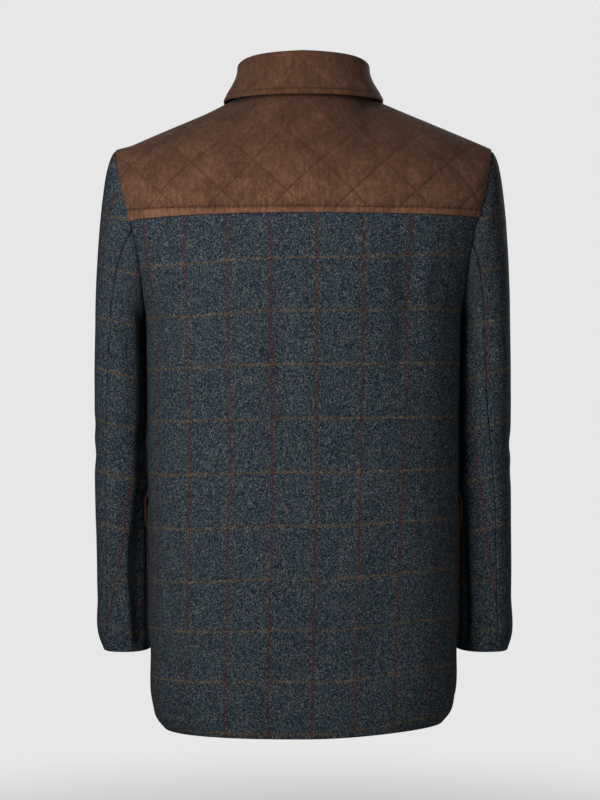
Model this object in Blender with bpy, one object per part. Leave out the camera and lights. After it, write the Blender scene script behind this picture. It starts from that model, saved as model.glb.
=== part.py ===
"""Field coat: tweed body and two-piece sleeves, quilted suede yoke, suede collar, bellows pockets.

Metres, +Z up. The coat faces -Y and its left side is +X. The origin is the middle of the shoulder line,
level with the two neck points, where a wearer's shoulders carry the coat.
Every panel is a wall between two grids of points. The grids come from the tables of sections below.
"""

import math
from collections import namedtuple

import bmesh
import bpy
import numpy as np

# Cloth and seams
TWEED_WALL = 0.0018
SUEDE_WALL = 0.0020
COLLAR_WALL = 0.0024
SEAM_GAP = 0.0003
LAP_GAP = 0.0004
ARMHOLE_GAP = 0.0006

# Body: the heights are measured down from the neck points
COAT_LENGTH = 0.8175
YOKE_LINE = -0.153
HEM_LIFT = 0.008
HEM_LIFT_FROM = -0.60
HEM_LIFT_TO = -0.80
HEM_LIFT_REACH = 0.19

# Shoulder line and neck
NECK_HALF = 0.074
NECK_BACK = 0.066
NECK_FRONT = 0.080
NECK_FRONT_DROP = 0.070
LOWER_PULL = 0.36
SHOULDER_HALF = 0.244
SHOULDER_DROP = 0.072
LEFT_SHOULDER_DIP = 0.0035
DIP_START, DIP_END = 0.35, 0.85
NECK_SHARE = 0.36

# Armhole, an upright oval seen from the side
ARMHOLE_TOP = -SHOULDER_DROP
ARMHOLE_BOTTOM = -0.281
ARMHOLE_BACK = 0.060
ARMHOLE_FRONT = 0.064

# Yoke
YOKE_LAP = 0.008
YOKE_END_DROP = {"left": 0.0060, "right": 0.0015}
YOKE_EDGE_TRIM = 0.0010
QUILT_STEP = 0.010
QUILT_STEPS_ACROSS = 8
QUILT_PUFF = 0.0024
QUILT_RISING = 0
QUILT_FALLING = 4
QUILT_ROWS = 9
YOKE_TOP_ROWS = 6
QUILT_FADE_TOP = 1.5
QUILT_FADE_SIDE = 1.2
QUILT_LAST_STEP = 0.4
LAP_RELIEF = 0.25
FRONT_YOKE_DEPTH = 0.062
FRONT_YOKE_START = 0.66 * NECK_SHARE
FRONT_YOKE_LEAST = 0.0006
FRONT_YOKE_GAP = 0.0006
FRONT_YOKE_EASE = 0.10
FRONT_YOKE_ROWS = 7
SHOULDER_SEAM_BACK = {"left": 0.014, "right": 0.0010}
SHOULDER_SEAM_LEAST = 0.0005
SHOULDER_SEAM_GAP = 0.0010

# Front closing
FRONT_OVERLAP = 0.09
PLACKET_LIFT = TWEED_WALL + 0.0006
PLACKET_FROM = 0.10
PLACKET_FADE = 0.15
BUTTON_HEIGHTS = (-0.112, -0.222, -0.332, -0.442, -0.552)
BUTTON_RADIUS = 0.0115
BUTTON_THICKNESS = 0.0042
BUTTON_SIDES = 12
BUTTON_SEAT = 0.0010

# Pockets, on the front panels beside the side seams
POCKET_BOTTOM = -0.720
POCKET_TOP = -0.531
POCKET_WIDTH = 0.168
POCKET_FROM_SEAM = 0.006
POCKET_CORNER = 0.024
GUSSET_WIDTH = 0.012
GUSSET_WALL = 0.0016
POCKET_WALL = 0.0015
POCKET_GAP = 0.0005
POCKET_COLUMNS = 14
POCKET_ROWS = 5
CORNER_ROWS = 5
CORNER_START = 0.12
GUSSET_SIDE_ROWS = 8
FLAP_TOP = -0.514
FLAP_BOTTOM = -0.561
FLAP_WIDER = 0.0015
FLAP_CORNER = 0.012
FLAP_FOLD_CLEAR = 0.003
FLAP_FLARE = 0.0004
FLAP_WALL = 0.0016

# Grids
DENSE = 61
SLOPE_STEP = 0.010
SURFACE_STEP = 0.004
HEM_ROW = -0.805
SKIRT_BOTTOM, SKIRT_TOP = -0.785, -0.310
CHEST_ROWS = 6
BACK_SKIRT_ROWS = 10
FRONT_SKIRT_ROWS = 8
BACK_TOP_GAP = 0.0006
FRONT_TOP_GAP = 0.014
BACK_COLUMNS = 21
FRONT_SIDE_COLUMNS = 11
FRONT_UPPER_ROWS = 5
SEAM_ROW = 0.03
SLEEVE_TOP_COLUMNS = 11
SLEEVE_UNDER_COLUMNS = 9
COLLAR_COLUMNS = 33

Section = namedtuple("Section", "z half_width back_depth front_depth power")
BODY = (
    Section(-COAT_LENGTH, 0.1800, 0.1300, 0.1260, 2.5),
    Section(-0.806, 0.1900, 0.1320, 0.1290, 2.5),
    Section(-0.785, 0.1960, 0.1340, 0.1315, 2.5),
    Section(-0.720, 0.1982, 0.1345, 0.1330, 2.5),
    Section(-0.600, 0.1998, 0.1320, 0.1320, 2.5),
    Section(-0.460, 0.2015, 0.1240, 0.1270, 2.5),
    Section(-0.340, 0.2030, 0.1260, 0.1290, 2.5),
    Section(ARMHOLE_BOTTOM, 0.2050, 0.1275, 0.1290, 2.5),
    Section(-0.222, 0.2220, 0.1255, 0.1265, 2.5),
    Section(-0.163, 0.2400, 0.1200, 0.1220, 2.5),
    Section(-0.120, 0.2500, 0.1150, 0.1170, 2.5),
)

TopEdge = namedtuple("TopEdge", "share back_pitch front_pitch pull")
TOP_EDGE = (
    TopEdge(0.00, 38, 48, 0.31),
    TopEdge(0.18, 31, 42, 0.30),
    TopEdge(0.36, 17, 28, 0.28),
    TopEdge(0.65, 6, 10, 0.32),
    TopEdge(1.00, 0, 0, 0.36),
)

Fold = namedtuple("Fold", "front share z half_width half_height depth")
FOLDS = (
    Fold(False, -0.53, -0.285, 0.014, 0.085, 0.0030),
    Fold(False, 0.74, -0.300, 0.014, 0.090, 0.0030),
    Fold(False, 0.12, -0.345, 0.016, 0.090, 0.0020),
    Fold(False, -0.40, -0.640, 0.022, 0.120, 0.0018),
    Fold(False, 0.46, -0.690, 0.024, 0.110, 0.0018),
    Fold(True, 0.60, -0.300, 0.016, 0.090, 0.0028),
    Fold(True, -0.62, -0.310, 0.016, 0.090, 0.0028),
)

SleeveRing = namedtuple(
    "SleeveRing", "z outer_left outer_right inner slant_left slant_right middle half_depth"
)
SLEEVE = (
    SleeveRing(-0.722, 0.2620, 0.2680, 0.2000, 0.0110, 0.0130, -0.040, 0.0485),
    SleeveRing(-0.706, 0.2680, 0.2728, 0.2010, 0.0130, 0.0150, -0.039, 0.0520),
    SleeveRing(-0.650, 0.2703, 0.2726, 0.2015, 0.0160, 0.0150, -0.036, 0.0545),
    SleeveRing(-0.600, 0.2710, 0.2724, 0.2018, 0.0170, 0.0120, -0.033, 0.0560),
    SleeveRing(-0.562, 0.2717, 0.2720, 0.2036, 0.0160, 0.0100, -0.031, 0.0570),
    SleeveRing(-0.526, 0.2725, 0.2716, 0.2052, 0.0150, 0.0090, -0.030, 0.0585),
    SleeveRing(-0.500, 0.2731, 0.2715, 0.2030, 0.0130, 0.0075, -0.0295, 0.0593),
    SleeveRing(-0.460, 0.2735, 0.2713, 0.2022, 0.0120, 0.0060, -0.028, 0.0607),
    SleeveRing(-0.380, 0.2732, 0.2711, 0.2025, 0.0110, 0.0040, -0.025, 0.0637),
    SleeveRing(-0.306, 0.2715, 0.2695, 0.2036, 0.0100, 0.0040, -0.020, 0.0665),
)
SLEEVE_POWER = 2.4
SLANT_PIVOT = 0.30
SLEEVE_MEAN_RADIUS = 0.024
CAP_PULL = 0.45
SLEEVE_CAP_END = SLEEVE[-1].z
SLEEVE_CAP_ROWS = 7
SLEEVE_TUBE_ROWS = 12

SleeveSeam = namedtuple("SleeveSeam", "z back_left back_right front")
SLEEVE_SEAMS = (
    SleeveSeam(-0.722, 66, 76, 236),
    SleeveSeam(-0.500, 68, 84, 236),
    SleeveSeam(-0.400, 72, 92, 237),
    SleeveSeam(-0.306, 80, 98, 238),
    SleeveSeam(-0.180, 92, 101, 240),
)

CapStart = namedtuple("CapStart", "angle out back down")
CAP = (
    CapStart(0, 0.0160, 0.000, 0.0100),
    CapStart(90, 0.0120, 0.005, 0.0220),
    CapStart(180, 0.0008, 0.000, 0.0080),
    CapStart(270, 0.0120, -0.005, 0.0220),
    CapStart(360, 0.0160, 0.000, 0.0100),
)

CollarSection = namedtuple("CollarSection", "angle height fold_out cover flare")
COLLAR = (
    CollarSection(0, 0.0478, 0.0030, 0.0085, 0.0250),
    CollarSection(50, 0.0450, 0.0028, 0.0085, 0.0270),
    CollarSection(90, 0.0400, 0.0024, 0.0085, 0.0292),
    CollarSection(130, 0.0385, 0.0028, 0.0150, 0.0305),
    CollarSection(172, 0.0360, 0.0030, 0.0260, 0.0330),
)
COLLAR_END = COLLAR[-1].angle
COLLAR_LIFT = 0.0032
COLLAR_ROLL = 0.0042
COLLAR_CLEAR = 0.0052
STAND_BELOW_FOLD = 0.0075
FALL_PULL = (0.0, -0.018)
EDGE_PUSH = (-0.006, 0.016)
STAND_ROWS = 4
ROLL_ROWS = 5
FALL_ROWS = 6

# Colours, linear
TWEED = (0.028, 0.036, 0.046)
SUEDE = (0.112, 0.060, 0.038)
HORN = (0.060, 0.035, 0.020)


def clear_scene():
    for obj in list(bpy.data.objects):
        bpy.data.objects.remove(obj)


def make_material(name, colour, roughness):
    material = bpy.data.materials.new(name)
    material.use_nodes = True
    shader = material.node_tree.nodes["Principled BSDF"]
    shader.inputs["Base Color"].default_value = (*colour, 1.0)
    shader.inputs["Roughness"].default_value = roughness
    shader.inputs["Metallic"].default_value = 0.0
    return material


def smooth_step(x):
    x = np.clip(x, 0.0, 1.0)
    return x * x * (3.0 - 2.0 * x)


def along(table, key, name, at):
    """A table's column at some values of its key column, on a smooth curve through its rows."""
    keys = np.array([getattr(row, key) for row in table])
    values = np.array([getattr(row, name) for row in table])
    slopes = np.gradient(values, keys)
    at = np.clip(at, keys[0], keys[-1])
    i = np.clip(np.searchsorted(keys, at) - 1, 0, len(keys) - 2)
    span = keys[i + 1] - keys[i]
    t = (at - keys[i]) / span
    rise = t * t * (3.0 - 2.0 * t)
    return (
        values[i] * (1.0 - rise)
        + values[i + 1] * rise
        + slopes[i] * span * t * (1.0 - t) ** 2
        - slopes[i + 1] * span * t * t * (1.0 - t)
    )


def bezier(p0, p1, p2, p3, t):
    """Points of cubic curves, at shares t along them. The last axis holds x, y and z."""
    t = np.asarray(t)[..., None]
    r = 1.0 - t
    return r**3 * p0 + 3 * r * r * t * p1 + 3 * r * t * t * p2 + t**3 * p3


def unit(vectors):
    return vectors / np.maximum(np.linalg.norm(vectors, axis=-1, keepdims=True), 1e-12)


def grid_normals(grid):
    """Outward normals of a grid whose columns run anticlockwise from above and whose rows run up."""
    return unit(np.cross(np.gradient(grid, axis=1), np.gradient(grid, axis=0)))


def mirrored(grid):
    """A grid's mirror image across X, with the columns still running anticlockwise."""
    return grid[:, ::-1] * np.array([-1.0, 1.0, 1.0])


def lengths_along(lines):
    """Running length of polylines along their second-last axis."""
    steps = np.linalg.norm(np.diff(lines, axis=-2), axis=-1)
    zero = np.zeros(steps.shape[:-1] + (1,))
    return np.concatenate([zero, np.cumsum(steps, axis=-1)], axis=-1)


def point_at(line, lengths, distance):
    return np.stack([np.interp(distance, lengths, line[:, k]) for k in range(3)], axis=-1)


# Body form


def armhole_depth(front, z):
    """How far in front of or behind the side seam the armhole's edge lies at height z."""
    middle = (ARMHOLE_TOP + ARMHOLE_BOTTOM) / 2
    half_height = (ARMHOLE_TOP - ARMHOLE_BOTTOM) / 2
    depth = ARMHOLE_FRONT if front else ARMHOLE_BACK
    share = (z - middle) / half_height
    return depth * math.sqrt(max(0.0, 1.0 - share * share)) if z > ARMHOLE_BOTTOM else 0.0


def half_section(front, z):
    """One half of a body section, from its centre to the side seam or armhole, and its running length."""
    width = along(BODY, "z", "half_width", z)
    depth = along(BODY, "z", "front_depth" if front else "back_depth", z)
    power = along(BODY, "z", "power", z)
    edge = math.asin((armhole_depth(front, z) / depth) ** (power / 2))
    angles = np.linspace(math.pi / 2, edge, DENSE)
    x = width * np.abs(np.cos(angles)) ** (2 / power)
    y = depth * np.abs(np.sin(angles)) ** (2 / power)
    line = np.stack([x, -y if front else y, np.full_like(x, z)], axis=-1)
    return line, lengths_along(line)


def section_length(front, z):
    return half_section(front, z)[1][-1]


def drape(front, shares, z):
    """How far soft folds move the cloth in from the plain form."""
    depth = np.zeros_like(shares)
    for fold in FOLDS:
        if fold.front == front:
            across = (shares - fold.share) * section_length(front, z) / fold.half_width
            up = (z - fold.z) / fold.half_height
            depth += fold.depth * np.exp(-(across**2) - up**2)
    return depth


def hem_lifted(points):
    """The hem sits a little higher on the right side."""
    across = smooth_step(-points[..., 0] / HEM_LIFT_REACH)
    down = smooth_step((HEM_LIFT_FROM - points[..., 2]) / (HEM_LIFT_FROM - HEM_LIFT_TO))
    points = points.copy()
    points[..., 2] += HEM_LIFT * across * down
    return points


def body_row(front, shares, z):
    """Points of the body form at height z. A share is 0 at the centre and 1 at the left edge."""
    line, lengths = half_section(front, z)
    points = point_at(line, lengths, np.abs(shares) * lengths[-1])
    points[:, 0] *= np.sign(shares)
    inward = unit(-points * np.array([1.0, 2.0, 0.0]))
    return points + inward * drape(front, shares, z)[:, None]


def top_row(front, shares, for_right=False):
    """The upper edge of the body: the neck curve, then the shoulder line, which dips on the left.

    for_right is True for the shape on the left that is mirrored to the right later.
    """
    size = np.abs(shares)
    turn = np.minimum(size / NECK_SHARE, 1.0) * math.pi / 2
    out = np.clip((size - NECK_SHARE) / (1.0 - NECK_SHARE), 0.0, 1.0)
    x = NECK_HALF * np.sin(turn) + (SHOULDER_HALF - NECK_HALF) * out
    reach = -NECK_FRONT if front else NECK_BACK
    drop = NECK_FRONT_DROP if front else 0.0
    y = reach * np.cos(turn)
    dip = smooth_step(out / DIP_START) * (1.0 - smooth_step((out - DIP_END) / (1.0 - DIP_END)))
    z = -drop * np.cos(turn) ** 1.5 - SHOULDER_DROP * out
    z -= np.where(shares > 0, 0.0 if for_right else LEFT_SHOULDER_DIP, 0.0) * dip
    return np.stack([x * np.sign(shares), y, z], axis=-1)


def upper_columns(front, shares, for_right=False):
    """Curves from the yoke line up to the neck or the shoulder line, one for each share."""
    low = body_row(front, shares, YOKE_LINE)
    below = body_row(front, shares, YOKE_LINE - SLOPE_STEP)
    high = top_row(front, shares, for_right)
    span = np.linalg.norm(high - low, axis=-1, keepdims=True)
    size = np.abs(shares)
    pitch = np.radians(along(TOP_EDGE, "share", "front_pitch" if front else "back_pitch", size))
    pull = along(TOP_EDGE, "share", "pull", size)[:, None]
    away = np.stack([np.zeros_like(pitch), np.cos(pitch), -np.sin(pitch)], axis=-1)
    if front:
        away[:, 1] *= -1.0
    lower_pull = low + unit(low - below) * span * LOWER_PULL
    upper_pull = high + away * span * pull
    t = np.linspace(0.0, 1.0, DENSE)
    return bezier(low[:, None], lower_pull[:, None], upper_pull[:, None], high[:, None], t[None])


def lower_grid(front, shares, heights):
    rows = [body_row(front, np.asarray(share), z) for share, z in zip(shares, heights)]
    return hem_lifted(np.array(rows))


# Building solids


def wall(name, outer, inner, material, closed=False, diagonal=None):
    """A closed solid between two grids. closed joins the last column to the first.

    diagonal(row, column) is True where an outer square is split from its lower left to its upper right.
    """
    rows, columns = outer.shape[:2]
    points = np.concatenate([outer.reshape(-1, 3), inner.reshape(-1, 3)])
    second = rows * columns
    faces = []
    spans = columns if closed else columns - 1
    for r in range(rows - 1):
        for c in range(spans):
            d = (c + 1) % columns
            square = (r * columns + c, r * columns + d, (r + 1) * columns + d, (r + 1) * columns + c)
            a, b, e, f = square
            if diagonal is None:
                faces.append(square)
            elif diagonal(r, c):
                faces += [(a, b, e), (a, e, f)]
            else:
                faces += [(a, b, f), (b, e, f)]
            faces.append(tuple(second + i for i in reversed(square)))
    for c in range(spans):
        d = (c + 1) % columns
        top = (rows - 1) * columns
        faces.append((c, second + c, second + d, d))
        faces.append((top + d, second + top + d, second + top + c, top + c))
    if not closed:
        for r in range(rows - 1):
            a, b = r * columns, (r + 1) * columns
            faces.append((b, second + b, second + a, a))
            a, b = a + columns - 1, b + columns - 1
            faces.append((a, second + a, second + b, b))
    return add_object(name, points, faces, material)


def add_object(name, points, faces, material):
    mesh = bpy.data.meshes.new(name)
    mesh.from_pydata([tuple(p) for p in points], [], faces)
    shape = bmesh.new()
    shape.from_mesh(mesh)
    bmesh.ops.recalc_face_normals(shape, faces=shape.faces)
    shape.to_mesh(mesh)
    shape.free()
    mesh.materials.append(material)
    mesh.shade_smooth()
    mesh.set_sharp_from_angle(angle=math.radians(40))
    obj = bpy.data.objects.new(name, mesh)
    bpy.context.scene.collection.objects.link(obj)
    return obj


def panel(name, grid, material, thickness=TWEED_WALL):
    """A wall whose outer face is the grid."""
    return wall(name, grid, grid - grid_normals(grid) * thickness, material)


def add_pair(name, outer, inner, material):
    """A pocket piece on the left front, and its mirror image on the right front."""
    wall(name + "_left", outer, inner, material)
    wall(name + "_right", hem_lifted(mirrored(outer)), hem_lifted(mirrored(inner)), material)


# Body panels


def edge_share(front, z, gap):
    """The share that leaves a gap at the edge of a body section."""
    return 1.0 - gap / section_length(front, z)


def body_heights(skirt_rows, top):
    """Heights of a body panel's rows from the hem up: close together at the hem and beside the armhole."""
    skirt = np.linspace(SKIRT_BOTTOM, SKIRT_TOP, skirt_rows)
    chest = np.linspace(ARMHOLE_BOTTOM, top, CHEST_ROWS)
    return np.concatenate([[-COAT_LENGTH, HEM_ROW], skirt, chest])


def back_panel(tweed):
    heights = body_heights(BACK_SKIRT_ROWS, YOKE_LINE - BACK_TOP_GAP)
    shares = []
    for z in heights:
        edge = edge_share(False, z, SEAM_GAP / 2)
        shares.append(np.linspace(edge, -edge, BACK_COLUMNS))
    panel("back", lower_grid(False, shares, heights), tweed)


def front_yoke_depths(shares):
    """Distance from the upper edge down to the front yoke's seam."""
    rise = smooth_step((shares - FRONT_YOKE_START) / (NECK_SHARE - FRONT_YOKE_START + FRONT_YOKE_EASE))
    return FRONT_YOKE_LEAST + (FRONT_YOKE_DEPTH - FRONT_YOKE_LEAST) * rise


def front_shares(edge):
    """Columns of a front. Those of the overlap and of the front yoke lie over each other."""
    overlap = np.linspace(-FRONT_OVERLAP, FRONT_OVERLAP, 5)
    neck = np.linspace(FRONT_OVERLAP, FRONT_YOKE_START, 3)[1:]
    yoke = np.linspace(FRONT_YOKE_START, NECK_SHARE, 3)[1:]
    side = np.linspace(NECK_SHARE, edge, FRONT_SIDE_COLUMNS)[1:]
    return np.concatenate([overlap, neck, yoke, side])


def front_grid(lift, for_right=False):
    """Grid of the left front, from its edge at the centre front to the side seam."""
    heights = body_heights(FRONT_SKIRT_ROWS, YOKE_LINE - FRONT_TOP_GAP)
    shares = [front_shares(edge_share(True, z, SEAM_GAP / 2)) for z in heights]
    lower = lower_grid(True, shares, heights)
    top_shares = front_shares(edge_share(True, YOKE_LINE, SEAM_GAP / 2))
    columns = upper_columns(True, top_shares, for_right)
    lengths = lengths_along(columns)
    at_neck = top_shares < FRONT_YOKE_START
    ends = lengths[:, -1] - np.where(at_neck, 0.0, front_yoke_depths(top_shares) + FRONT_YOKE_GAP)
    upper = []
    for t in np.append(np.linspace(0.0, 1.0 - SEAM_ROW, FRONT_UPPER_ROWS), 1.0):
        upper.append([point_at(columns[c], lengths[c], t * ends[c]) for c in range(len(columns))])
    grid = np.concatenate([lower, np.array(upper)])
    fade = smooth_step((top_shares - PLACKET_FROM) / PLACKET_FADE)
    return grid + grid_normals(grid) * (lift * (1.0 - fade))[None, :, None]


def fronts(tweed):
    panel("front_left", front_grid(PLACKET_LIFT), tweed)
    panel("front_right", hem_lifted(mirrored(front_grid(0.0, for_right=True))), tweed)


# Yoke


def quilt_steps(across, up):
    """Steps to the nearest line of each family of quilting lines, on the grid of quilt steps."""
    rising = (across - up - QUILT_RISING) % QUILT_STEPS_ACROSS
    falling = (across + up - QUILT_FALLING) % QUILT_STEPS_ACROSS
    return (
        np.minimum(rising, QUILT_STEPS_ACROSS - rising),
        np.minimum(falling, QUILT_STEPS_ACROSS - falling),
    )


def quilt_relief(across, up):
    """Height of the padding between the lines of stitching, from 0 to 1."""
    rising, falling = quilt_steps(across, up)
    near = np.minimum(rising, falling)
    return np.sqrt(np.clip(near / 2.0, 0.0, 1.0))


def shoulder_seam_distance(shares):
    """How far behind the shoulder line its seam lies."""
    out = smooth_step((np.abs(shares) - NECK_SHARE) / (1.0 - NECK_SHARE))
    ends = np.where(shares > 0, SHOULDER_SEAM_BACK["left"], SHOULDER_SEAM_BACK["right"])
    return np.where(np.abs(shares) < NECK_SHARE, 0.0, SHOULDER_SEAM_LEAST + ends * out)


def back_yoke(suede):
    half = section_length(False, YOKE_LINE)
    whole = int(half / QUILT_STEP - QUILT_LAST_STEP)
    steps = np.concatenate([[half - YOKE_EDGE_TRIM], np.arange(whole, -whole - 1, -1) * QUILT_STEP])
    steps = np.concatenate([steps, [-half + YOKE_EDGE_TRIM]])
    shares = steps / half
    end_drops = np.where(shares > 0, YOKE_END_DROP["left"], YOKE_END_DROP["right"])
    drops = YOKE_LAP + end_drops * shares**2
    lap = [[body_row(False, shares[c : c + 1], YOKE_LINE - drops[c])[0] for c in range(len(shares))]]
    columns = upper_columns(False, shares)
    lengths = lengths_along(columns)
    ends = lengths[:, -1] - shoulder_seam_distance(shares)
    rows, ups = [], []
    for r in range(QUILT_ROWS):
        rows.append([point_at(columns[c], lengths[c], r * QUILT_STEP) for c in range(len(shares))])
        ups.append(np.full(len(shares), float(r)))
    last = (QUILT_ROWS - 1) * QUILT_STEP
    for t in np.linspace(0.0, 1.0, YOKE_TOP_ROWS + 1)[1:]:
        distances = last + (ends - last) * t
        rows.append([point_at(columns[c], lengths[c], distances[c]) for c in range(len(shares))])
        ups.append(distances / QUILT_STEP)
    grid = np.array(lap + rows)
    relief = quilt_relief(steps[None] / QUILT_STEP, np.array(ups))
    to_top = (ends[None] / QUILT_STEP - np.array(ups)) / QUILT_FADE_TOP
    to_side = (half - np.abs(steps))[None] / QUILT_STEP / QUILT_FADE_SIDE
    relief *= smooth_step(to_top) * smooth_step(to_side) * smooth_step(np.array(ups))
    relief = np.concatenate([np.full((1, len(shares)), LAP_RELIEF), relief])
    normals = grid_normals(grid)
    inner = grid + normals * LAP_GAP
    outer = inner + normals * (SUEDE_WALL + QUILT_PUFF * relief)[..., None]

    def rises(row, column):
        rising, falling = quilt_steps(whole - column + 1, row - 1)
        return falling == 0

    wall("yoke_back", outer, inner, suede, diagonal=rises)


def front_yoke_grid(side):
    """Grid of a front yoke on the left, from its seam on the front over the shoulder to the back yoke."""
    trim = YOKE_EDGE_TRIM / section_length(False, YOKE_LINE)
    shares = front_shares(1.0 - trim)
    shares = shares[shares >= FRONT_YOKE_START - 1e-9]
    sign = 1.0 if side == "left" else -1.0
    reach = np.maximum(shoulder_seam_distance(shares * sign) - SHOULDER_SEAM_GAP, 0.0)
    depths = front_yoke_depths(shares)
    sheets = []
    for front in (True, False):
        columns = upper_columns(front, shares, side == "right")
        sheets.append((columns, lengths_along(columns)))
    rows = []
    for t in np.append(0.0, np.linspace(SEAM_ROW, 1.0, FRONT_YOKE_ROWS)):
        row = []
        for c in range(len(shares)):
            past = t * (depths[c] + reach[c]) - depths[c]
            lines, lengths = sheets[1] if past > 0 else sheets[0]
            row.append(point_at(lines[c], lengths[c], lengths[c, -1] - abs(past)))
        rows.append(row)
    return np.array(rows)


def front_yokes(suede):
    panel("yoke_front_left", front_yoke_grid("left"), suede, SUEDE_WALL)
    panel("yoke_front_right", mirrored(front_yoke_grid("right")), suede, SUEDE_WALL)


# Sleeves


def edge_line(front):
    """The body's left armhole edge from the armpit up to the shoulder point, with the normals there."""
    near = np.array([1.0, 0.985])
    heights = ARMHOLE_BOTTOM + (YOKE_LINE - ARMHOLE_BOTTOM) * np.linspace(0.0, 1.0, 41) ** 2
    lower = np.array([body_row(front, near, z) for z in heights])
    upper = np.swapaxes(upper_columns(front, near), 0, 1)[1:]
    pair = np.concatenate([lower, upper])
    up = np.gradient(pair[:, 0], axis=0)
    inward = pair[:, 1] - pair[:, 0]
    normals = unit(np.cross(inward, up))
    return pair[:, 0], -normals if front else normals


def armhole_loop(angles):
    """Armhole points and body normals. 0 is the shoulder point, 90 the back, 180 the armpit."""
    middle = (ARMHOLE_TOP + ARMHOLE_BOTTOM) / 2
    half_height = (ARMHOLE_TOP - ARMHOLE_BOTTOM) / 2
    heights = middle + half_height * np.cos(angles)
    points = np.zeros((len(angles), 3))
    normals = np.zeros((len(angles), 3))
    for front in (False, True):
        line, across = edge_line(front)
        here = (np.sin(angles) < 0) == front
        for k in range(3):
            points[here, k] = np.interp(heights[here], line[:, 2], line[:, k])
            normals[here, k] = np.interp(heights[here], line[:, 2], across[:, k])
    return points, unit(normals)


def signed_power(value, power):
    return np.sign(value) * np.abs(value) ** power


def sleeve_ring(side, angles, z):
    """A level section of the sleeve. Its inner side slants, further from the body at the back."""
    outer = along(SLEEVE, "z", "outer_" + side, z)
    inner = along(SLEEVE, "z", "inner", z)
    slant = along(SLEEVE, "z", "slant_" + side, z)
    middle = along(SLEEVE, "z", "middle", z)
    depth = along(SLEEVE, "z", "half_depth", z)
    out = signed_power(np.cos(angles), 2 / SLEEVE_POWER)
    back = signed_power(np.sin(angles), 2 / SLEEVE_POWER)
    x = (outer + inner) / 2 + (outer - inner) / 2 * out
    x += slant * (1.0 - out) / 2 * ((1.0 + back) / 2 - SLANT_PIVOT)
    return np.stack([x, middle + depth * back, np.full_like(x, z)], axis=-1)


def sleeve_cap(side, angles, t):
    """Points of the sleeve head, from the armhole at t 0 to the first ring at t 1, and body normals."""
    degrees = np.degrees(angles) % 360.0
    lead = np.stack(
        [
            along(CAP, "angle", "out", degrees),
            along(CAP, "angle", "back", degrees),
            -along(CAP, "angle", "down", degrees),
        ],
        axis=-1,
    )
    loop, normals = armhole_loop(angles)
    start = loop + unit(lead) * ARMHOLE_GAP
    ring = sleeve_ring(side, angles, SLEEVE_CAP_END)
    pull = np.zeros_like(ring)
    pull[:, 2] = (loop[:, 2] - ring[:, 2]) * CAP_PULL
    return bezier(start, start + lead, ring + pull, ring, np.full(len(angles), t)), normals


def sleeve_angles(side, piece, z):
    """Angles of a sleeve piece's columns, with one more column past each seam."""
    back = math.radians(along(SLEEVE_SEAMS, "z", "back_" + side, z))
    front = math.radians(along(SLEEVE_SEAMS, "z", "front", z))
    gap = SEAM_GAP / 2 / SLEEVE_MEAN_RADIUS
    if piece == "top":
        angles = np.linspace(front - 2 * math.pi + gap, back - gap, SLEEVE_TOP_COLUMNS)
    else:
        angles = np.linspace(back + gap, front - gap, SLEEVE_UNDER_COLUMNS)
    step = angles[1] - angles[0]
    return np.concatenate([[angles[0] - step], angles, [angles[-1] + step]])


def sleeve_grids(side, piece):
    """The outer and inner grids of one sleeve piece as on the left, cuff first."""
    cuff = np.array([SLEEVE[0].z, (SLEEVE[0].z + SLEEVE[1].z) / 2])
    heights = np.concatenate([cuff, np.linspace(SLEEVE[1].z, SLEEVE_CAP_END, SLEEVE_TUBE_ROWS)])
    rows = [sleeve_ring(side, sleeve_angles(side, piece, z), z) for z in heights]
    body_normals = None
    for t in np.linspace(1.0, 0.0, SLEEVE_CAP_ROWS + 1)[1:]:
        z = SLEEVE_CAP_END + (SLEEVE_SEAMS[-1].z - SLEEVE_CAP_END) * (1.0 - t)
        points, body_normals = sleeve_cap(side, sleeve_angles(side, piece, z), t)
        rows.append(points)
    outer = np.array(rows)
    normals = grid_normals(outer)
    normals[-1] = unit(normals[-1] + body_normals)
    inner = outer - normals * TWEED_WALL
    return outer[:, 1:-1], inner[:, 1:-1]


def sleeves(tweed):
    for piece in ("top", "under"):
        wall("sleeve_" + piece + "_left", *sleeve_grids("left", piece), tweed)
        wall("sleeve_" + piece + "_right", *map(mirrored, sleeve_grids("right", piece)), tweed)


# Collar


def neck_frame(angles):
    """Points of the neck curve and the level directions away from it. 0 is the centre back."""
    size = np.abs(angles)
    back = size <= math.pi / 2
    x = NECK_HALF * np.sin(angles)
    y = np.where(back, NECK_BACK, NECK_FRONT) * np.cos(angles)
    z = np.where(back, 0.0, -NECK_FRONT_DROP * np.abs(np.cos(angles)) ** 1.5)
    points = np.stack([x, y, z], axis=-1)
    flow = np.gradient(points, axis=0)
    out = unit(np.stack([flow[:, 1], -flow[:, 0], np.zeros(len(angles))], axis=-1))
    return points, out * np.sign(np.sum(out * points, axis=-1, keepdims=True))


def stand_profile(row):
    """Middle line of the collar stand as (out, up) pairs, from the neck seam up."""
    top = row.height - STAND_BELOW_FOLD
    t = np.linspace(0.0, 1.0, STAND_ROWS)
    return np.stack([row.fold_out * t, COLLAR_LIFT + (top - COLLAR_LIFT) * t], axis=-1)


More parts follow.
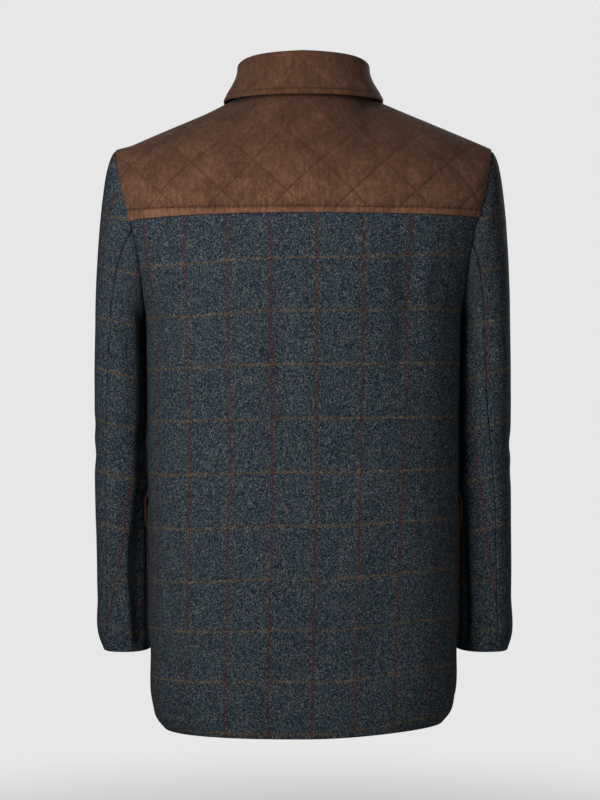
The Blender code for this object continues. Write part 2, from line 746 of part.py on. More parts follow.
def fall_profile(row):
    """Middle line of the collar fall, from the stand over the roll and down to the edge."""
    start = np.array([[row.fold_out, row.height - STAND_BELOW_FOLD + SEAM_GAP]])
    turn = np.linspace(math.pi, 0.0, ROLL_ROWS)
    roll = np.stack(
        [
            row.fold_out + COLLAR_ROLL + COLLAR_ROLL * np.cos(turn),
            row.height - COLLAR_ROLL + COLLAR_ROLL * np.sin(turn),
        ],
        axis=-1,
    )
    edge = np.array([row.flare, -row.cover])
    pull = roll[-1] + np.array(FALL_PULL)
    push = edge + np.array(EDGE_PUSH)
    fall = bezier(roll[-1], pull, push, edge, np.linspace(0.0, 1.0, FALL_ROWS)[1:])
    return np.concatenate([start, roll, fall])


def height_under(points):
    """Height of the shoulders under some points near the neck, seen from above."""
    shares = np.linspace(-1.0, 1.0, 161)
    sheet = np.concatenate([upper_columns(front, shares).reshape(-1, 3) for front in (False, True)])
    heights = []
    for point in points:
        far = np.sum((sheet[:, :2] - point[:2]) ** 2, axis=-1)
        near = np.argsort(far)[:6]
        heights.append(np.max(sheet[near, 2]))
    return np.array(heights)


def collar_rows():
    """Sections of the collar all round the neck, whose edge stays clear of the shoulders."""
    angles = np.radians(np.linspace(-COLLAR_END, COLLAR_END, COLLAR_COLUMNS))
    necks, outs = neck_frame(angles)
    rows = []
    for angle in np.degrees(np.abs(angles)):
        rows.append([along(COLLAR, "angle", name, angle) for name in CollarSection._fields[1:]])
    rows = np.array(rows)
    edges = necks + outs * rows[:, 3:4]
    clear = height_under(edges) + COLLAR_CLEAR
    rows[:, 2] = necks[:, 2] - np.maximum(necks[:, 2] - rows[:, 2], clear)
    return necks, outs, [CollarSection(angle, *row) for angle, row in zip(angles, rows)]


def collar_faces(profile):
    """Grids of the two faces of a collar piece made from one profile for each section."""
    faces = ([], [])
    for neck, out, row in zip(*collar_rows()):
        line = profile(row)
        flow = unit(np.gradient(line, axis=0))
        side = np.stack([-flow[:, 1], flow[:, 0]], axis=-1)
        for face, sign in zip(faces, (1.0, -1.0)):
            flat = line + side * sign * COLLAR_WALL / 2
            face.append(neck + flat[:, :1] * out + flat[:, 1:] * np.array([0.0, 0.0, 1.0]))
    return [np.swapaxes(np.array(face), 0, 1) for face in faces]


def collar(suede):
    wall("collar_stand", *collar_faces(stand_profile), suede)
    wall("collar_fall", *collar_faces(fall_profile), suede)


# Pockets


def front_surface(distances, heights):
    """Points and normals of the plain left front, at distances from the side seam and heights."""
    points, normals = [], []
    for distance, z in zip(distances, heights):
        length = section_length(True, z)
        share = np.array([1.0 - distance / length])
        step = SURFACE_STEP / length
        here = body_row(True, share, z)[0]
        across = body_row(True, share + step, z)[0] - body_row(True, share - step, z)[0]
        up = body_row(True, share, z + SURFACE_STEP)[0] - body_row(True, share, z - SURFACE_STEP)[0]
        points.append(here)
        normals.append(unit(np.cross(across, up)))
    return np.array(points), np.array(normals)


def on_front(distances, heights, offsets):
    """Grid of points that stand off the left front by some offsets."""
    shape = distances.shape
    points, normals = front_surface(distances.ravel(), heights.ravel())
    grid = points + normals * np.broadcast_to(offsets, shape).ravel()[:, None]
    return grid.reshape(shape + (3,))


def corner_inset(rise, radius):
    """How far a rounded lower corner draws the side in, at a rise above the bottom."""
    drop = np.clip(radius - rise, 0.0, radius)
    return radius - np.sqrt(radius * radius - drop * drop)


def patch(bottom, top, width, from_seam, corner):
    """Distances and heights of a patch with rounded lower corners. Columns run towards the side seam."""
    rise = corner * (1.0 - np.cos(np.linspace(CORNER_START, math.pi / 2, CORNER_ROWS)))
    heights = np.concatenate([bottom + rise[:-1], np.linspace(bottom + corner, top, POCKET_ROWS)])
    inset = corner_inset(heights - bottom, corner)
    near = from_seam + inset
    far = from_seam + width - inset
    t = np.linspace(0.0, 1.0, POCKET_COLUMNS)[None]
    distances = far[:, None] + (near - far)[:, None] * t
    return distances, np.broadcast_to(heights[:, None], distances.shape)


def gusset_paths():
    """The U-shaped strip round a pocket: outer and inner edges as distances and heights."""
    edges = []
    for inset in (0.0, GUSSET_WIDTH):
        radius = POCKET_CORNER - inset
        near, far = POCKET_FROM_SEAM + inset, POCKET_FROM_SEAM + POCKET_WIDTH - inset
        low = POCKET_BOTTOM + inset
        turn = np.linspace(0.0, math.pi / 2, CORNER_ROWS)
        side = np.linspace(POCKET_TOP, low + radius, GUSSET_SIDE_ROWS + 1)[:-1]
        base = np.linspace(far - radius, near + radius, POCKET_COLUMNS)[1:-1]
        distances = np.concatenate(
            [
                np.full(GUSSET_SIDE_ROWS, far),
                far - radius + radius * np.cos(turn),
                base,
                near + radius - radius * np.sin(turn),
                np.full(GUSSET_SIDE_ROWS, near),
            ]
        )
        heights = np.concatenate(
            [
                side,
                low + radius - radius * np.sin(turn),
                np.full(len(base), low),
                low + radius - radius * np.cos(turn),
                side[::-1],
            ]
        )
        edges.append((distances, heights))
    return np.array([e[0] for e in edges]), np.array([e[1] for e in edges])


def pockets(tweed, suede):
    base = POCKET_GAP
    distances, heights = gusset_paths()
    top = base + GUSSET_WALL
    add_pair("pocket_gusset", on_front(distances, heights, top), on_front(distances, heights, base), suede)

    distances, heights = patch(POCKET_BOTTOM, POCKET_TOP, POCKET_WIDTH, POCKET_FROM_SEAM, POCKET_CORNER)
    face = top + POCKET_GAP
    outer = on_front(distances, heights, face + POCKET_WALL)
    add_pair("pocket_face", outer, on_front(distances, heights, face), tweed)

    width = POCKET_WIDTH + 2 * FLAP_WIDER
    start = POCKET_FROM_SEAM - FLAP_WIDER
    distances, heights = patch(FLAP_BOTTOM, FLAP_TOP, width, start, FLAP_CORNER)
    over = face + POCKET_WALL + POCKET_GAP
    drop = smooth_step((FLAP_TOP - heights) / (FLAP_TOP - POCKET_TOP - FLAP_FOLD_CLEAR))
    flare = FLAP_FLARE * smooth_step((POCKET_TOP - heights) / (POCKET_TOP - FLAP_BOTTOM))
    under = base + (over - base) * drop + flare
    outer = on_front(distances, heights, under + FLAP_WALL)
    add_pair("pocket_flap", outer, on_front(distances, heights, under), suede)


# Buttons


def button_profile():
    """Radius and height pairs of a button with a raised rim, from its back round to its front."""
    r, h = BUTTON_RADIUS, BUTTON_THICKNESS
    return [(r * 0.80, 0.0), (r, h * 0.45), (r * 0.93, h), (r * 0.78, h), (r * 0.66, h * 0.70)]


def buttons(horn):
    for number, z in enumerate(BUTTON_HEIGHTS, start=1):
        if z < YOKE_LINE:
            here = body_row(True, np.array([0.0]), z)[0]
            over = body_row(True, np.array([0.0]), z + SURFACE_STEP)[0]
            under = body_row(True, np.array([0.0]), z - SURFACE_STEP)[0]
        else:
            line = upper_columns(True, np.array([0.0]))[0]
            here, over, under = (
                np.array([np.interp(at, line[:, 2], line[:, k]) for k in range(3)])
                for at in (z, z + SURFACE_STEP, z - SURFACE_STEP)
            )
        up = unit(over - under)
        across = np.array([1.0, 0.0, 0.0])
        out = np.cross(across, up)
        seat = here + out * (PLACKET_LIFT + BUTTON_SEAT)
        points, faces = [], []
        profile = button_profile()
        for radius, height in profile:
            for k in range(BUTTON_SIDES):
                turn = 2 * math.pi * k / BUTTON_SIDES
                ray = across * math.cos(turn) + up * math.sin(turn)
                points.append(seat + ray * radius + out * height)
        for r in range(len(profile) - 1):
            for k in range(BUTTON_SIDES):
                n = (k + 1) % BUTTON_SIDES
                a, b = r * BUTTON_SIDES, (r + 1) * BUTTON_SIDES
                faces.append((a + k, a + n, b + n, b + k))
        faces.append(tuple(reversed(range(BUTTON_SIDES))))
        faces.append(tuple(range((len(profile) - 1) * BUTTON_SIDES, len(profile) * BUTTON_SIDES)))
        add_object("button_" + str(number), points, faces, horn)


def main():
    clear_scene()
    tweed = make_material("tweed", TWEED, 0.95)
    suede = make_material("suede", SUEDE, 0.9)
    horn = make_material("horn", HORN, 0.35)
    back_panel(tweed)
    fronts(tweed)
    back_yoke(suede)
    front_yokes(suede)
    sleeves(tweed)
    collar(suede)
    pockets(tweed, suede)
    buttons(horn)


main()
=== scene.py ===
"""Looks of the field coat: tweed shells with a windowpane check, quilted suede yoke and collar, sewing.

Metres, +Z up. The coat faces -Y and its left side is +X. Each cloth piece is a thin shell on the form
of the solid it stands for, worked out from the same tables of sections on a finer grid, with its creases
added.
"""

import math
from collections import namedtuple
from functools import lru_cache

import bmesh
import bpy
import numpy as np
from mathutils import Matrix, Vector


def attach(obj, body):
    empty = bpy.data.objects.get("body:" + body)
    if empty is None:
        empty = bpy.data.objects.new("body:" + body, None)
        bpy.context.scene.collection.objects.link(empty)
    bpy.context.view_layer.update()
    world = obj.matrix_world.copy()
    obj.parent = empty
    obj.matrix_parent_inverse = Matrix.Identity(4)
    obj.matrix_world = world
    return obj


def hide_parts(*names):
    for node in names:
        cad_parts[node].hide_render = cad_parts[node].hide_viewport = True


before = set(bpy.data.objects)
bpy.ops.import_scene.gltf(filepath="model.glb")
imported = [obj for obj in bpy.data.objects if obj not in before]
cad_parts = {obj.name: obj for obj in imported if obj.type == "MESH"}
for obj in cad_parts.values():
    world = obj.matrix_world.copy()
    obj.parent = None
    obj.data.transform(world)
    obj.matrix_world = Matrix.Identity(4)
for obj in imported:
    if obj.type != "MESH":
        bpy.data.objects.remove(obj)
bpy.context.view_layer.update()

# Cloth and seams
TWEED_WALL = 0.0018
SUEDE_WALL = 0.0020
COLLAR_WALL = 0.0024
SEAM_GAP = 0.0003
LAP_GAP = 0.0004
ARMHOLE_GAP = 0.0006

# Body: the heights are measured down from the neck points
COAT_LENGTH = 0.8175
YOKE_LINE = -0.153
HEM_LIFT = 0.008
HEM_LIFT_FROM = -0.60
HEM_LIFT_TO = -0.80
HEM_LIFT_REACH = 0.19
HEM_STITCH_UP = 0.024
HEM_GROOVE = 0.00035
HEM_GROOVE_WIDTH = 0.0014
HEM_GROOVE_ROWS = 9

# Shoulder line and neck
NECK_HALF = 0.074
NECK_BACK = 0.066
NECK_FRONT = 0.080
NECK_FRONT_DROP = 0.070
NECK_DROP_POWER = 1.5
LOWER_PULL = 0.36
SHOULDER_HALF = 0.244
SHOULDER_DROP = 0.072
LEFT_SHOULDER_DIP = 0.0035
DIP_START, DIP_END = 0.35, 0.85
NECK_SHARE = 0.36

# Armhole, an upright oval seen from the side
ARMHOLE_TOP = -SHOULDER_DROP
ARMHOLE_BOTTOM = -0.281
ARMHOLE_BACK = 0.060
ARMHOLE_FRONT = 0.064
ARMHOLE_MIDDLE = (ARMHOLE_TOP + ARMHOLE_BOTTOM) / 2
ARMHOLE_HALF = (ARMHOLE_TOP - ARMHOLE_BOTTOM) / 2
EDGE_SHARES = (1.0, 0.985)
EDGE_HEIGHTS = 41

# Yoke and its quilting
YOKE_LAP = 0.008
YOKE_END_DROP = {"left": 0.0060, "right": 0.0015}
YOKE_EDGE_TRIM = 0.0010
QUILT_STEP = 0.010
QUILT_STEPS_ACROSS = 8
QUILT_PUFF = 0.0024
QUILT_RISING = 0
QUILT_FALLING = 4
QUILT_FADE_TOP = 1.5
QUILT_FADE_SIDE = 1.2
FRONT_YOKE_DEPTH = 0.062
FRONT_YOKE_START = 0.66 * NECK_SHARE
FRONT_YOKE_LEAST = 0.0006
FRONT_YOKE_GAP = 0.0006
FRONT_YOKE_EASE = 0.10
SHOULDER_SEAM_BACK = {"left": 0.014, "right": 0.0010}
SHOULDER_SEAM_LEAST = 0.0005
SHOULDER_SEAM_GAP = 0.0010

# Front closing
FRONT_OVERLAP = 0.09
PLACKET_LIFT = TWEED_WALL + 0.0006
PLACKET_FROM = 0.10
PLACKET_FADE = 0.15
BUTTON_HEIGHTS = (-0.112, -0.222, -0.332, -0.442, -0.552)
BUTTON_RADIUS = 0.0115
BUTTON_THICKNESS = 0.0042
BUTTON_SIDES = 48
BUTTON_SEAT = 0.0010
# Dish of a button: radius and height as shares of the button's
BUTTON_DISH = ((0.70, 0.98), (0.62, 0.80), (0.50, 0.70), (0.25, 0.66))
BUTTON_CENTRE, BUTTON_HOLLOW = 0.0001, 0.65
BUTTON_RIM_POINTS = 9
THREAD_HEIGHT, THREAD_APART, THREAD_HALF = 0.70, 0.16, 0.22
BUTTON_STITCH, BUTTON_THREAD = 0.5, 1.8

# Pockets, on the front panels beside the side seams
POCKET_BOTTOM = -0.720
POCKET_TOP = -0.531
POCKET_WIDTH = 0.168
POCKET_FROM_SEAM = 0.006
POCKET_CORNER = 0.024
GUSSET_WIDTH = 0.012
GUSSET_WALL = 0.0016
POCKET_WALL = 0.0015
POCKET_GAP = 0.0005
FLAP_TOP = -0.514
FLAP_BOTTOM = -0.561
FLAP_WIDER = 0.0015
FLAP_CORNER = 0.012
FLAP_FOLD_CLEAR = 0.003
FLAP_FLARE = 0.0004
FLAP_WALL = 0.0016

# Grids
DENSE = 241
SLOPE_STEP = 0.010
SURFACE_STEP = 0.004
BACK_TOP_GAP = 0.0006
BACK_COLUMNS, BACK_ROWS = 141, 190
FRONT_COLUMNS, FRONT_ROWS, FRONT_UPPER_ROWS = 95, 170, 46
YOKE_COLUMNS, YOKE_ROWS = 321, 104
FRONT_YOKE_COLUMNS, FRONT_YOKE_ROWS = 75, 40
SLEEVE_COLUMNS, SLEEVE_TUBE_ROWS, SLEEVE_CAP_ROWS = 61, 110, 44
COLLAR_COLUMNS = 181
STAND_ROWS, ROLL_ROWS, FALL_ROWS = 12, 13, 40
POCKET_COLUMNS, POCKET_ROWS = 61, 50
CORNER_ROWS = 12
CORNER_START = 0.05
GUSSET_SIDE_ROWS = 40
GUSSET_ROWS = 9
EDGE_ROWS = (0.0, 0.0004, 0.0010, 0.0022)
EDGE_ROUND, EDGE_LEAST = 0.0012, 0.35

Section = namedtuple("Section", "z half_width back_depth front_depth power")
BODY = (
    Section(-COAT_LENGTH, 0.1800, 0.1300, 0.1260, 2.5),
    Section(-0.806, 0.1900, 0.1320, 0.1290, 2.5),
    Section(-0.785, 0.1960, 0.1340, 0.1315, 2.5),
    Section(-0.720, 0.1982, 0.1345, 0.1330, 2.5),
    Section(-0.600, 0.1998, 0.1320, 0.1320, 2.5),
    Section(-0.460, 0.2015, 0.1240, 0.1270, 2.5),
    Section(-0.340, 0.2030, 0.1260, 0.1290, 2.5),
    Section(ARMHOLE_BOTTOM, 0.2050, 0.1275, 0.1290, 2.5),
    Section(-0.222, 0.2220, 0.1255, 0.1265, 2.5),
    Section(-0.163, 0.2400, 0.1200, 0.1220, 2.5),
    Section(-0.120, 0.2500, 0.1150, 0.1170, 2.5),
)

TopEdge = namedtuple("TopEdge", "share back_pitch front_pitch pull")
TOP_EDGE = (
    TopEdge(0.00, 38, 48, 0.31),
    TopEdge(0.18, 31, 42, 0.30),
    TopEdge(0.36, 17, 28, 0.28),
    TopEdge(0.65, 6, 10, 0.32),
    TopEdge(1.00, 0, 0, 0.36),
)

Fold = namedtuple("Fold", "front share z half_width half_height depth")
FOLDS = (
    Fold(False, -0.53, -0.285, 0.014, 0.085, 0.0030),
    Fold(False, 0.74, -0.300, 0.014, 0.090, 0.0030),
    Fold(False, 0.12, -0.345, 0.016, 0.090, 0.0020),
    Fold(False, -0.40, -0.640, 0.022, 0.120, 0.0018),
    Fold(False, 0.46, -0.690, 0.024, 0.110, 0.0018),
    Fold(True, 0.60, -0.300, 0.016, 0.090, 0.0028),
    Fold(True, -0.62, -0.310, 0.016, 0.090, 0.0028),
)

SleeveRing = namedtuple(
    "SleeveRing", "z outer_left outer_right inner slant_left slant_right middle half_depth"
)
SLEEVE = (
    SleeveRing(-0.722, 0.2620, 0.2680, 0.2000, 0.0110, 0.0130, -0.040, 0.0485),
    SleeveRing(-0.706, 0.2680, 0.2728, 0.2010, 0.0130, 0.0150, -0.039, 0.0520),
    SleeveRing(-0.650, 0.2703, 0.2726, 0.2015, 0.0160, 0.0150, -0.036, 0.0545),
    SleeveRing(-0.600, 0.2710, 0.2724, 0.2018, 0.0170, 0.0120, -0.033, 0.0560),
    SleeveRing(-0.562, 0.2717, 0.2720, 0.2036, 0.0160, 0.0100, -0.031, 0.0570),
    SleeveRing(-0.526, 0.2725, 0.2716, 0.2052, 0.0150, 0.0090, -0.030, 0.0585),
    SleeveRing(-0.500, 0.2731, 0.2715, 0.2030, 0.0130, 0.0075, -0.0295, 0.0593),
    SleeveRing(-0.460, 0.2735, 0.2713, 0.2022, 0.0120, 0.0060, -0.028, 0.0607),
    SleeveRing(-0.380, 0.2732, 0.2711, 0.2025, 0.0110, 0.0040, -0.025, 0.0637),
    SleeveRing(-0.306, 0.2715, 0.2695, 0.2036, 0.0100, 0.0040, -0.020, 0.0665),
)
SLEEVE_POWER = 2.4
SLANT_PIVOT = 0.30
SLEEVE_MEAN_RADIUS = 0.024
CAP_PULL = 0.45
SLEEVE_CAP_END = SLEEVE[-1].z

SleeveSeam = namedtuple("SleeveSeam", "z back_left back_right front")
SLEEVE_SEAMS = (
    SleeveSeam(-0.722, 66, 76, 236),
    SleeveSeam(-0.500, 68, 84, 236),
    SleeveSeam(-0.400, 72, 92, 237),
    SleeveSeam(-0.306, 80, 98, 238),
    SleeveSeam(-0.180, 92, 101, 240),
)

CapStart = namedtuple("CapStart", "angle out back down")
CAP = (
    CapStart(0, 0.0160, 0.000, 0.0100),
    CapStart(90, 0.0120, 0.005, 0.0220),
    CapStart(180, 0.0008, 0.000, 0.0080),
    CapStart(270, 0.0120, -0.005, 0.0220),
    CapStart(360, 0.0160, 0.000, 0.0100),
)

CollarSection = namedtuple("CollarSection", "angle height fold_out cover flare")
COLLAR = (
    CollarSection(0, 0.0478, 0.0030, 0.0085, 0.0250),
    CollarSection(50, 0.0450, 0.0028, 0.0085, 0.0270),
    CollarSection(90, 0.0400, 0.0024, 0.0085, 0.0292),
    CollarSection(130, 0.0385, 0.0028, 0.0150, 0.0305),
    CollarSection(172, 0.0360, 0.0030, 0.0260, 0.0330),
)
COLLAR_END = COLLAR[-1].angle
STAND_TUCK = 0.0026
STAND_DOWN = 0.0035
COLLAR_ROLL = 0.0042
COLLAR_CLEAR = 0.0052
UNDER_COLUMNS, UNDER_NEAREST = 161, 6
STAND_BELOW_FOLD = 0.0075
FALL_PULL = (0.0, -0.018)
EDGE_PUSH = (-0.006, 0.016)

# Creases: their middles in cloth coordinates, depths positive where the cloth goes in
Crease = namedtuple("Crease", "piece across up length width lean bow depth")
CREASES = (
    Crease("back", 0.031, -0.335, 0.100, 0.016, 3, 0.3, 0.0042),
    Crease("back", 0.004, -0.318, 0.085, 0.014, 2, 0.0, -0.0020),
    Crease("back", -0.128, -0.285, 0.090, 0.016, -4, 0.4, 0.0044),
    Crease("back", -0.158, -0.215, 0.055, 0.012, -6, 0.0, -0.0026),
    Crease("back", 0.105, -0.255, 0.070, 0.018, 5, -0.3, 0.0020),
    Crease("back", 0.150, -0.330, 0.095, 0.020, 3, 0.0, -0.0018),
    Crease("back", -0.062, -0.450, 0.110, 0.024, -2, 0.2, 0.0017),
    Crease("back", -0.105, -0.640, 0.130, 0.026, 2, 0.0, 0.0020),
    Crease("back", 0.118, -0.690, 0.120, 0.028, -3, 0.1, 0.0020),
    Crease("back", -0.010, -0.745, 0.060, 0.022, 1, 0.0, 0.0015),
    Crease("back", 0.060, -0.590, 0.090, 0.030, 4, 0.0, -0.0013),
    Crease("front_left", 0.150, -0.300, 0.090, 0.018, -5, 0.0, 0.0032),
    Crease("front_left", 0.195, -0.250, 0.070, 0.015, -8, 0.3, 0.0026),
    Crease("front_left", 0.110, -0.400, 0.110, 0.022, 3, 0.0, 0.0018),
    Crease("front_left", 0.090, -0.640, 0.120, 0.026, -2, 0.0, 0.0018),
    Crease("front_right", -0.140, -0.310, 0.095, 0.018, 5, 0.0, 0.0032),
    Crease("front_right", -0.200, -0.245, 0.065, 0.015, 8, -0.3, 0.0026),
    Crease("front_right", -0.100, -0.430, 0.100, 0.022, -4, 0.0, 0.0016),
    Crease("front_right", -0.080, -0.670, 0.100, 0.026, 2, 0.0, 0.0018),
    Crease("sleeve_left", 0.020, -0.470, 0.026, 0.012, 66, 0.0, 0.0020),
    Crease("sleeve_left", 0.012, -0.432, 0.030, 0.010, 74, 0.0, 0.0016),
    Crease("sleeve_left", -0.016, -0.455, 0.034, 0.012, -68, 0.0, 0.0020),
    Crease("sleeve_left", -0.010, -0.320, 0.050, 0.013, 12, 0.0, 0.0018),
    Crease("sleeve_left", 0.000, -0.610, 0.060, 0.014, 8, 0.0, 0.0015),
    Crease("sleeve_left", -0.036, -0.507, 0.020, 0.012, 90, 0.0, -0.0026),
    Crease("sleeve_right", 0.022, -0.455, 0.028, 0.012, 70, 0.0, 0.0020),
    Crease("sleeve_right", 0.010, -0.495, 0.028, 0.011, 62, 0.0, 0.0016),
    Crease("sleeve_right", -0.016, -0.470, 0.032, 0.012, -70, 0.0, 0.0020),
    Crease("sleeve_right", -0.010, -0.335, 0.050, 0.013, 10, 0.0, 0.0018),
    Crease("sleeve_right", -0.004, -0.620, 0.060, 0.014, -6, 0.0, 0.0015),
    Crease("sleeve_right", -0.036, -0.509, 0.020, 0.012, 90, 0.0, -0.0030),
)
CREASE_EDGE = 0.022
CREASE_TAPER = 0.35
RIPPLE = 0.0005

# Where a sleeve's back turns sharply to its inner side, out from the coat's middle
Turn = namedtuple("Turn", "z left right")
TURNS = (
    Turn(-0.707, 0.2190, 0.2140),
    Turn(-0.655, 0.2225, 0.2145),
    Turn(-0.603, 0.2245, 0.2125),
    Turn(-0.551, 0.2200, 0.2105),
    Turn(-0.499, 0.2164, 0.2073),
    Turn(-0.395, 0.2120, 0.2060),
    Turn(-0.265, 0.2135, 0.2085),
)
TURN_INNER, TURN_HOLLOW = 0.2035, 0.0065
TURN_RIDGE, TURN_RIDGE_OUT, TURN_RIDGE_WIDTH = 0.0022, 0.005, 0.005
TURN_FROM, TURN_REACH = -0.022, 0.016
TURN_TOP, TURN_FADE = -0.262, 0.045

# Windowpane check
CHECK_ACROSS = 0.0583
CHECK_ALONG = 0.0662
CHECK_START_ACROSS = -0.0166
CHECK_START_ALONG = -0.216
SLEEVE_TILT = 0.25
SLEEVE_LEVEL_AT = 0.240
SLEEVE_CHECK_SHIFT = 0.0123
# How the check drifts over the body: its lean, its narrowing, its pinch at the sides, and its sag
Drift = namedtuple("Drift", "z lean narrow pinch_left pinch_right left middle right")
DRIFTS = (
    Drift(-0.8175, 0.0060, 0.066, 0.0000, 0.0070, -0.0010, -0.0010, -0.0110),
    Drift(-0.7500, 0.0046, 0.063, 0.0000, 0.0062, 0.0020, 0.0002, -0.0080),
    Drift(-0.6050, 0.0012, 0.054, 0.0016, 0.0040, 0.0112, 0.0045, -0.0035),
    Drift(-0.4700, -0.0004, 0.044, 0.0064, 0.0010, 0.0078, 0.0043, 0.0020),
    Drift(-0.3300, 0.0000, 0.020, 0.0064, -0.0020, 0.0072, 0.0018, -0.0010),
    Drift(-0.1900, 0.0000, 0.006, 0.0060, -0.0046, 0.0095, 0.0003, -0.0035),
    Drift(0.0000, 0.0000, 0.000, 0.0000, 0.0000, 0.0000, 0.0000, 0.0000),
)
DRIFT_START, DRIFT_REACH = 0.02, 0.15

# Rust lines of the sleeves: how far each lies from the back seam, outwards on the top piece and inwards on
# the under piece
SleeveLine = namedtuple("SleeveLine", "z top_left top_right under_left under_right")
SLEEVE_LINES = (
    SleeveLine(-0.722, 0.050, -0.008, -0.006, -0.010),
    SleeveLine(-0.664, 0.050, -0.008, 0.005, 0.000),
    SleeveLine(-0.608, 0.050, -0.008, 0.018, 0.008),
    SleeveLine(-0.556, 0.050, -0.008, 0.027, 0.014),
    SleeveLine(-0.498, 0.050, -0.008, 0.035, 0.019),
    SleeveLine(-0.446, 0.050, -0.007, 0.042, 0.022),
    SleeveLine(-0.370, 0.050, 0.000, 0.046, 0.030),
    SleeveLine(-0.300, 0.054, 0.003, 0.048, 0.040),
    SleeveLine(-0.180, 0.057, 0.003, 0.048, 0.046),
)

# Flat cut of each sheet, with its area where it isn't a rectangle
Cut = namedtuple("Cut", "node width length area held rests_on")

# Sewing
STITCH_PITCH = 0.0034
STITCH_LENGTH = 0.0024
THREAD_RADIUS = 0.00030
STITCH_SIDES = 6
# Rings of a stitch: place along it, thickness, and lift from the cloth in thread radii
StitchRing = namedtuple("StitchRing", "place size lift")
STITCH_SHAPE = (
    StitchRing(-0.50, 0.25, -0.90),
    StitchRing(-0.32, 0.85, 0.15),
    StitchRing(0.00, 1.00, 0.45),
    StitchRing(0.32, 0.85, 0.15),
    StitchRing(0.50, 0.25, -0.90),
)
QUILT_LINES, QUILT_LEAST_POINTS = 6, 12
YOKE_EDGE_POINTS = 300
COLLAR_SEWING_END = 4
PATCH_INSET = 2
FACE_SEWING_END, FLAP_SEWING_END = 2, 4
INSIDE_LAST = 1.001
COLLAR_STITCH_UP = 0.0078

# Camera
PHOTO_HEIGHT = 800
METRES_PER_PIXEL = 0.00130
CAMERA_DISTANCE = 3.0
CAMERA_X, CAMERA_Z = 0.00455, -0.395
SENSOR = 36.0

# Yoke surface
EDGE_PUFF, EDGE_PUFF_REACH = 0.0005, 0.003
SEWN_WIDTH = 0.0011
YOKE_GROOVE = 0.0009
PUCKERS = (0.0043, 0.0061, 0.0097)
PUCKER_SHARES = (0.45, 0.35, 0.20)
PUCKER_DEPTH = 0.00035
PUCKER_REACH = 0.007
COLLAR_GROOVE, COLLAR_SEWN_WIDTH = 0.0006, 0.0012
COLLAR_PUCKER, COLLAR_PUCKER_REACH, COLLAR_SEED = PUCKER_DEPTH * 0.4, 0.010, 12
SEWING_MARGIN = 0.004
QUILT_LINE = 0.0008
QUILT_STRONG = 0.065
QUILT_GONE = 0.125
QUILT_LEFT_OVER = 0.18
QUILT_CROSS_SHARE = 0.85
PUCKER_SEED, PULL_SEED = 11, 12
PUCKER_DRIFT = 40.0
PULL_SPACING = (0.0030, 0.0090)
PULL_REACHES = (0.5, 1.3)
PULL_SLANTS = (-0.25, 0.25)
PULL_STRENGTHS = (0.35, 1.0)
PULL_WIDTH = 0.0011
PULL_DEPTH = 0.0008
PULL_REACH = 0.0055

# Painted light and shade on the suede, stored per point as painted_light; and the easing of the yoke below
# the neck points
PAINTED_LIGHT_PLAIN = 0.5
# Painted shade in the quilting, along the sewn lines and at the pulls; painted highlight on the raised
# lower edge; painted light low on the yoke, painted shade towards its top
QUILT_PAINTED_SHADE, SEWN_PAINTED_SHADE, PULL_PAINTED_SHADE = 0.34, 0.32, 0.36
EDGE_PAINTED_HIGHLIGHT, EDGE_HIGHLIGHT_REACH, EDGE_HIGHLIGHT_UNEVEN = 0.16, 0.002, 0.2
COLLAR_SEWN_PAINTED_SHADE = 0.28
PAINTED_LIGHT_LOW, PAINTED_SHADE_TOP = 0.17, 0.07
PAINTED_SHADE_REACH = 0.115
EASE_REACH = 0.045
EASE_UNDER_COLLAR = 0.012
EASE_PASSES = 90

# Unevenness of the cloth, in radians a metre, and the starts of its random draws
BACK_SEED = 1
FRONT_SEEDS = {"left": 2, "right": 3}
SLEEVE_SEEDS = {"left": 5, "right": 6}
Ripple = namedtuple("Ripple", "share across up slant")
RIPPLES = (Ripple(0.55, 31, 23, 8), Ripple(0.30, 67, 48, 19), Ripple(0.15, 131, 103, 40))

# Tweed: its threads, and its colours, which are linear
THREAD_PITCH = 0.00095
THREAD_RUN = 0.36
TWILL_STEPS, TWILL_UP = 4.0, 1.5
TWEED_TONES = (
    (0.00, (0.005, 0.008, 0.016)),
    (0.30, (0.014, 0.022, 0.038)),
    (0.60, (0.033, 0.047, 0.067)),
    (0.85, (0.076, 0.092, 0.107)),
    (1.00, (0.190, 0.188, 0.172)),
)
TEAL, STRAW = (0.018, 0.046, 0.044), (0.160, 0.124, 0.046)
RUST_DARK, RUST_LIGHT = (0.034, 0.007, 0.005), (0.125, 0.028, 0.016)
OCHRE_DARK, OCHRE_LIGHT = (0.050, 0.030, 0.012), (0.300, 0.180, 0.048)
RUST_HALF_WIDTH, OCHRE_HALF_WIDTH = 0.0021, 0.0017
LINE_SOLID, LINE_GONE = 0.55, 1.35
WANDER_REACH = 0.0018
SPECKLE_SHARE = 0.7
# Ranges of a pattern, and how much of a colour shows at each end of them
TEAL_SHOWN = (0.40, 0.75, 0.0, 0.45)
STRAW_SHOWN = (0.965, 0.975, 0.0, 0.8)
RUST_WOVEN, OCHRE_WOVEN = (0.0, 1.0, 0.30, 0.85), (0.0, 1.0, 0.05, 0.72)
RUST_FAINT, OCHRE_FAINT = (0.38, 0.65, 1.0, 0.45), (0.35, 0.62, 0.25, 1.0)
# First steps of random values that must not repeat each other
WEFT_RUN_START, WEFT_START = 9.0, 500.5
STRAW_STARTS = (77.5, 31.5)

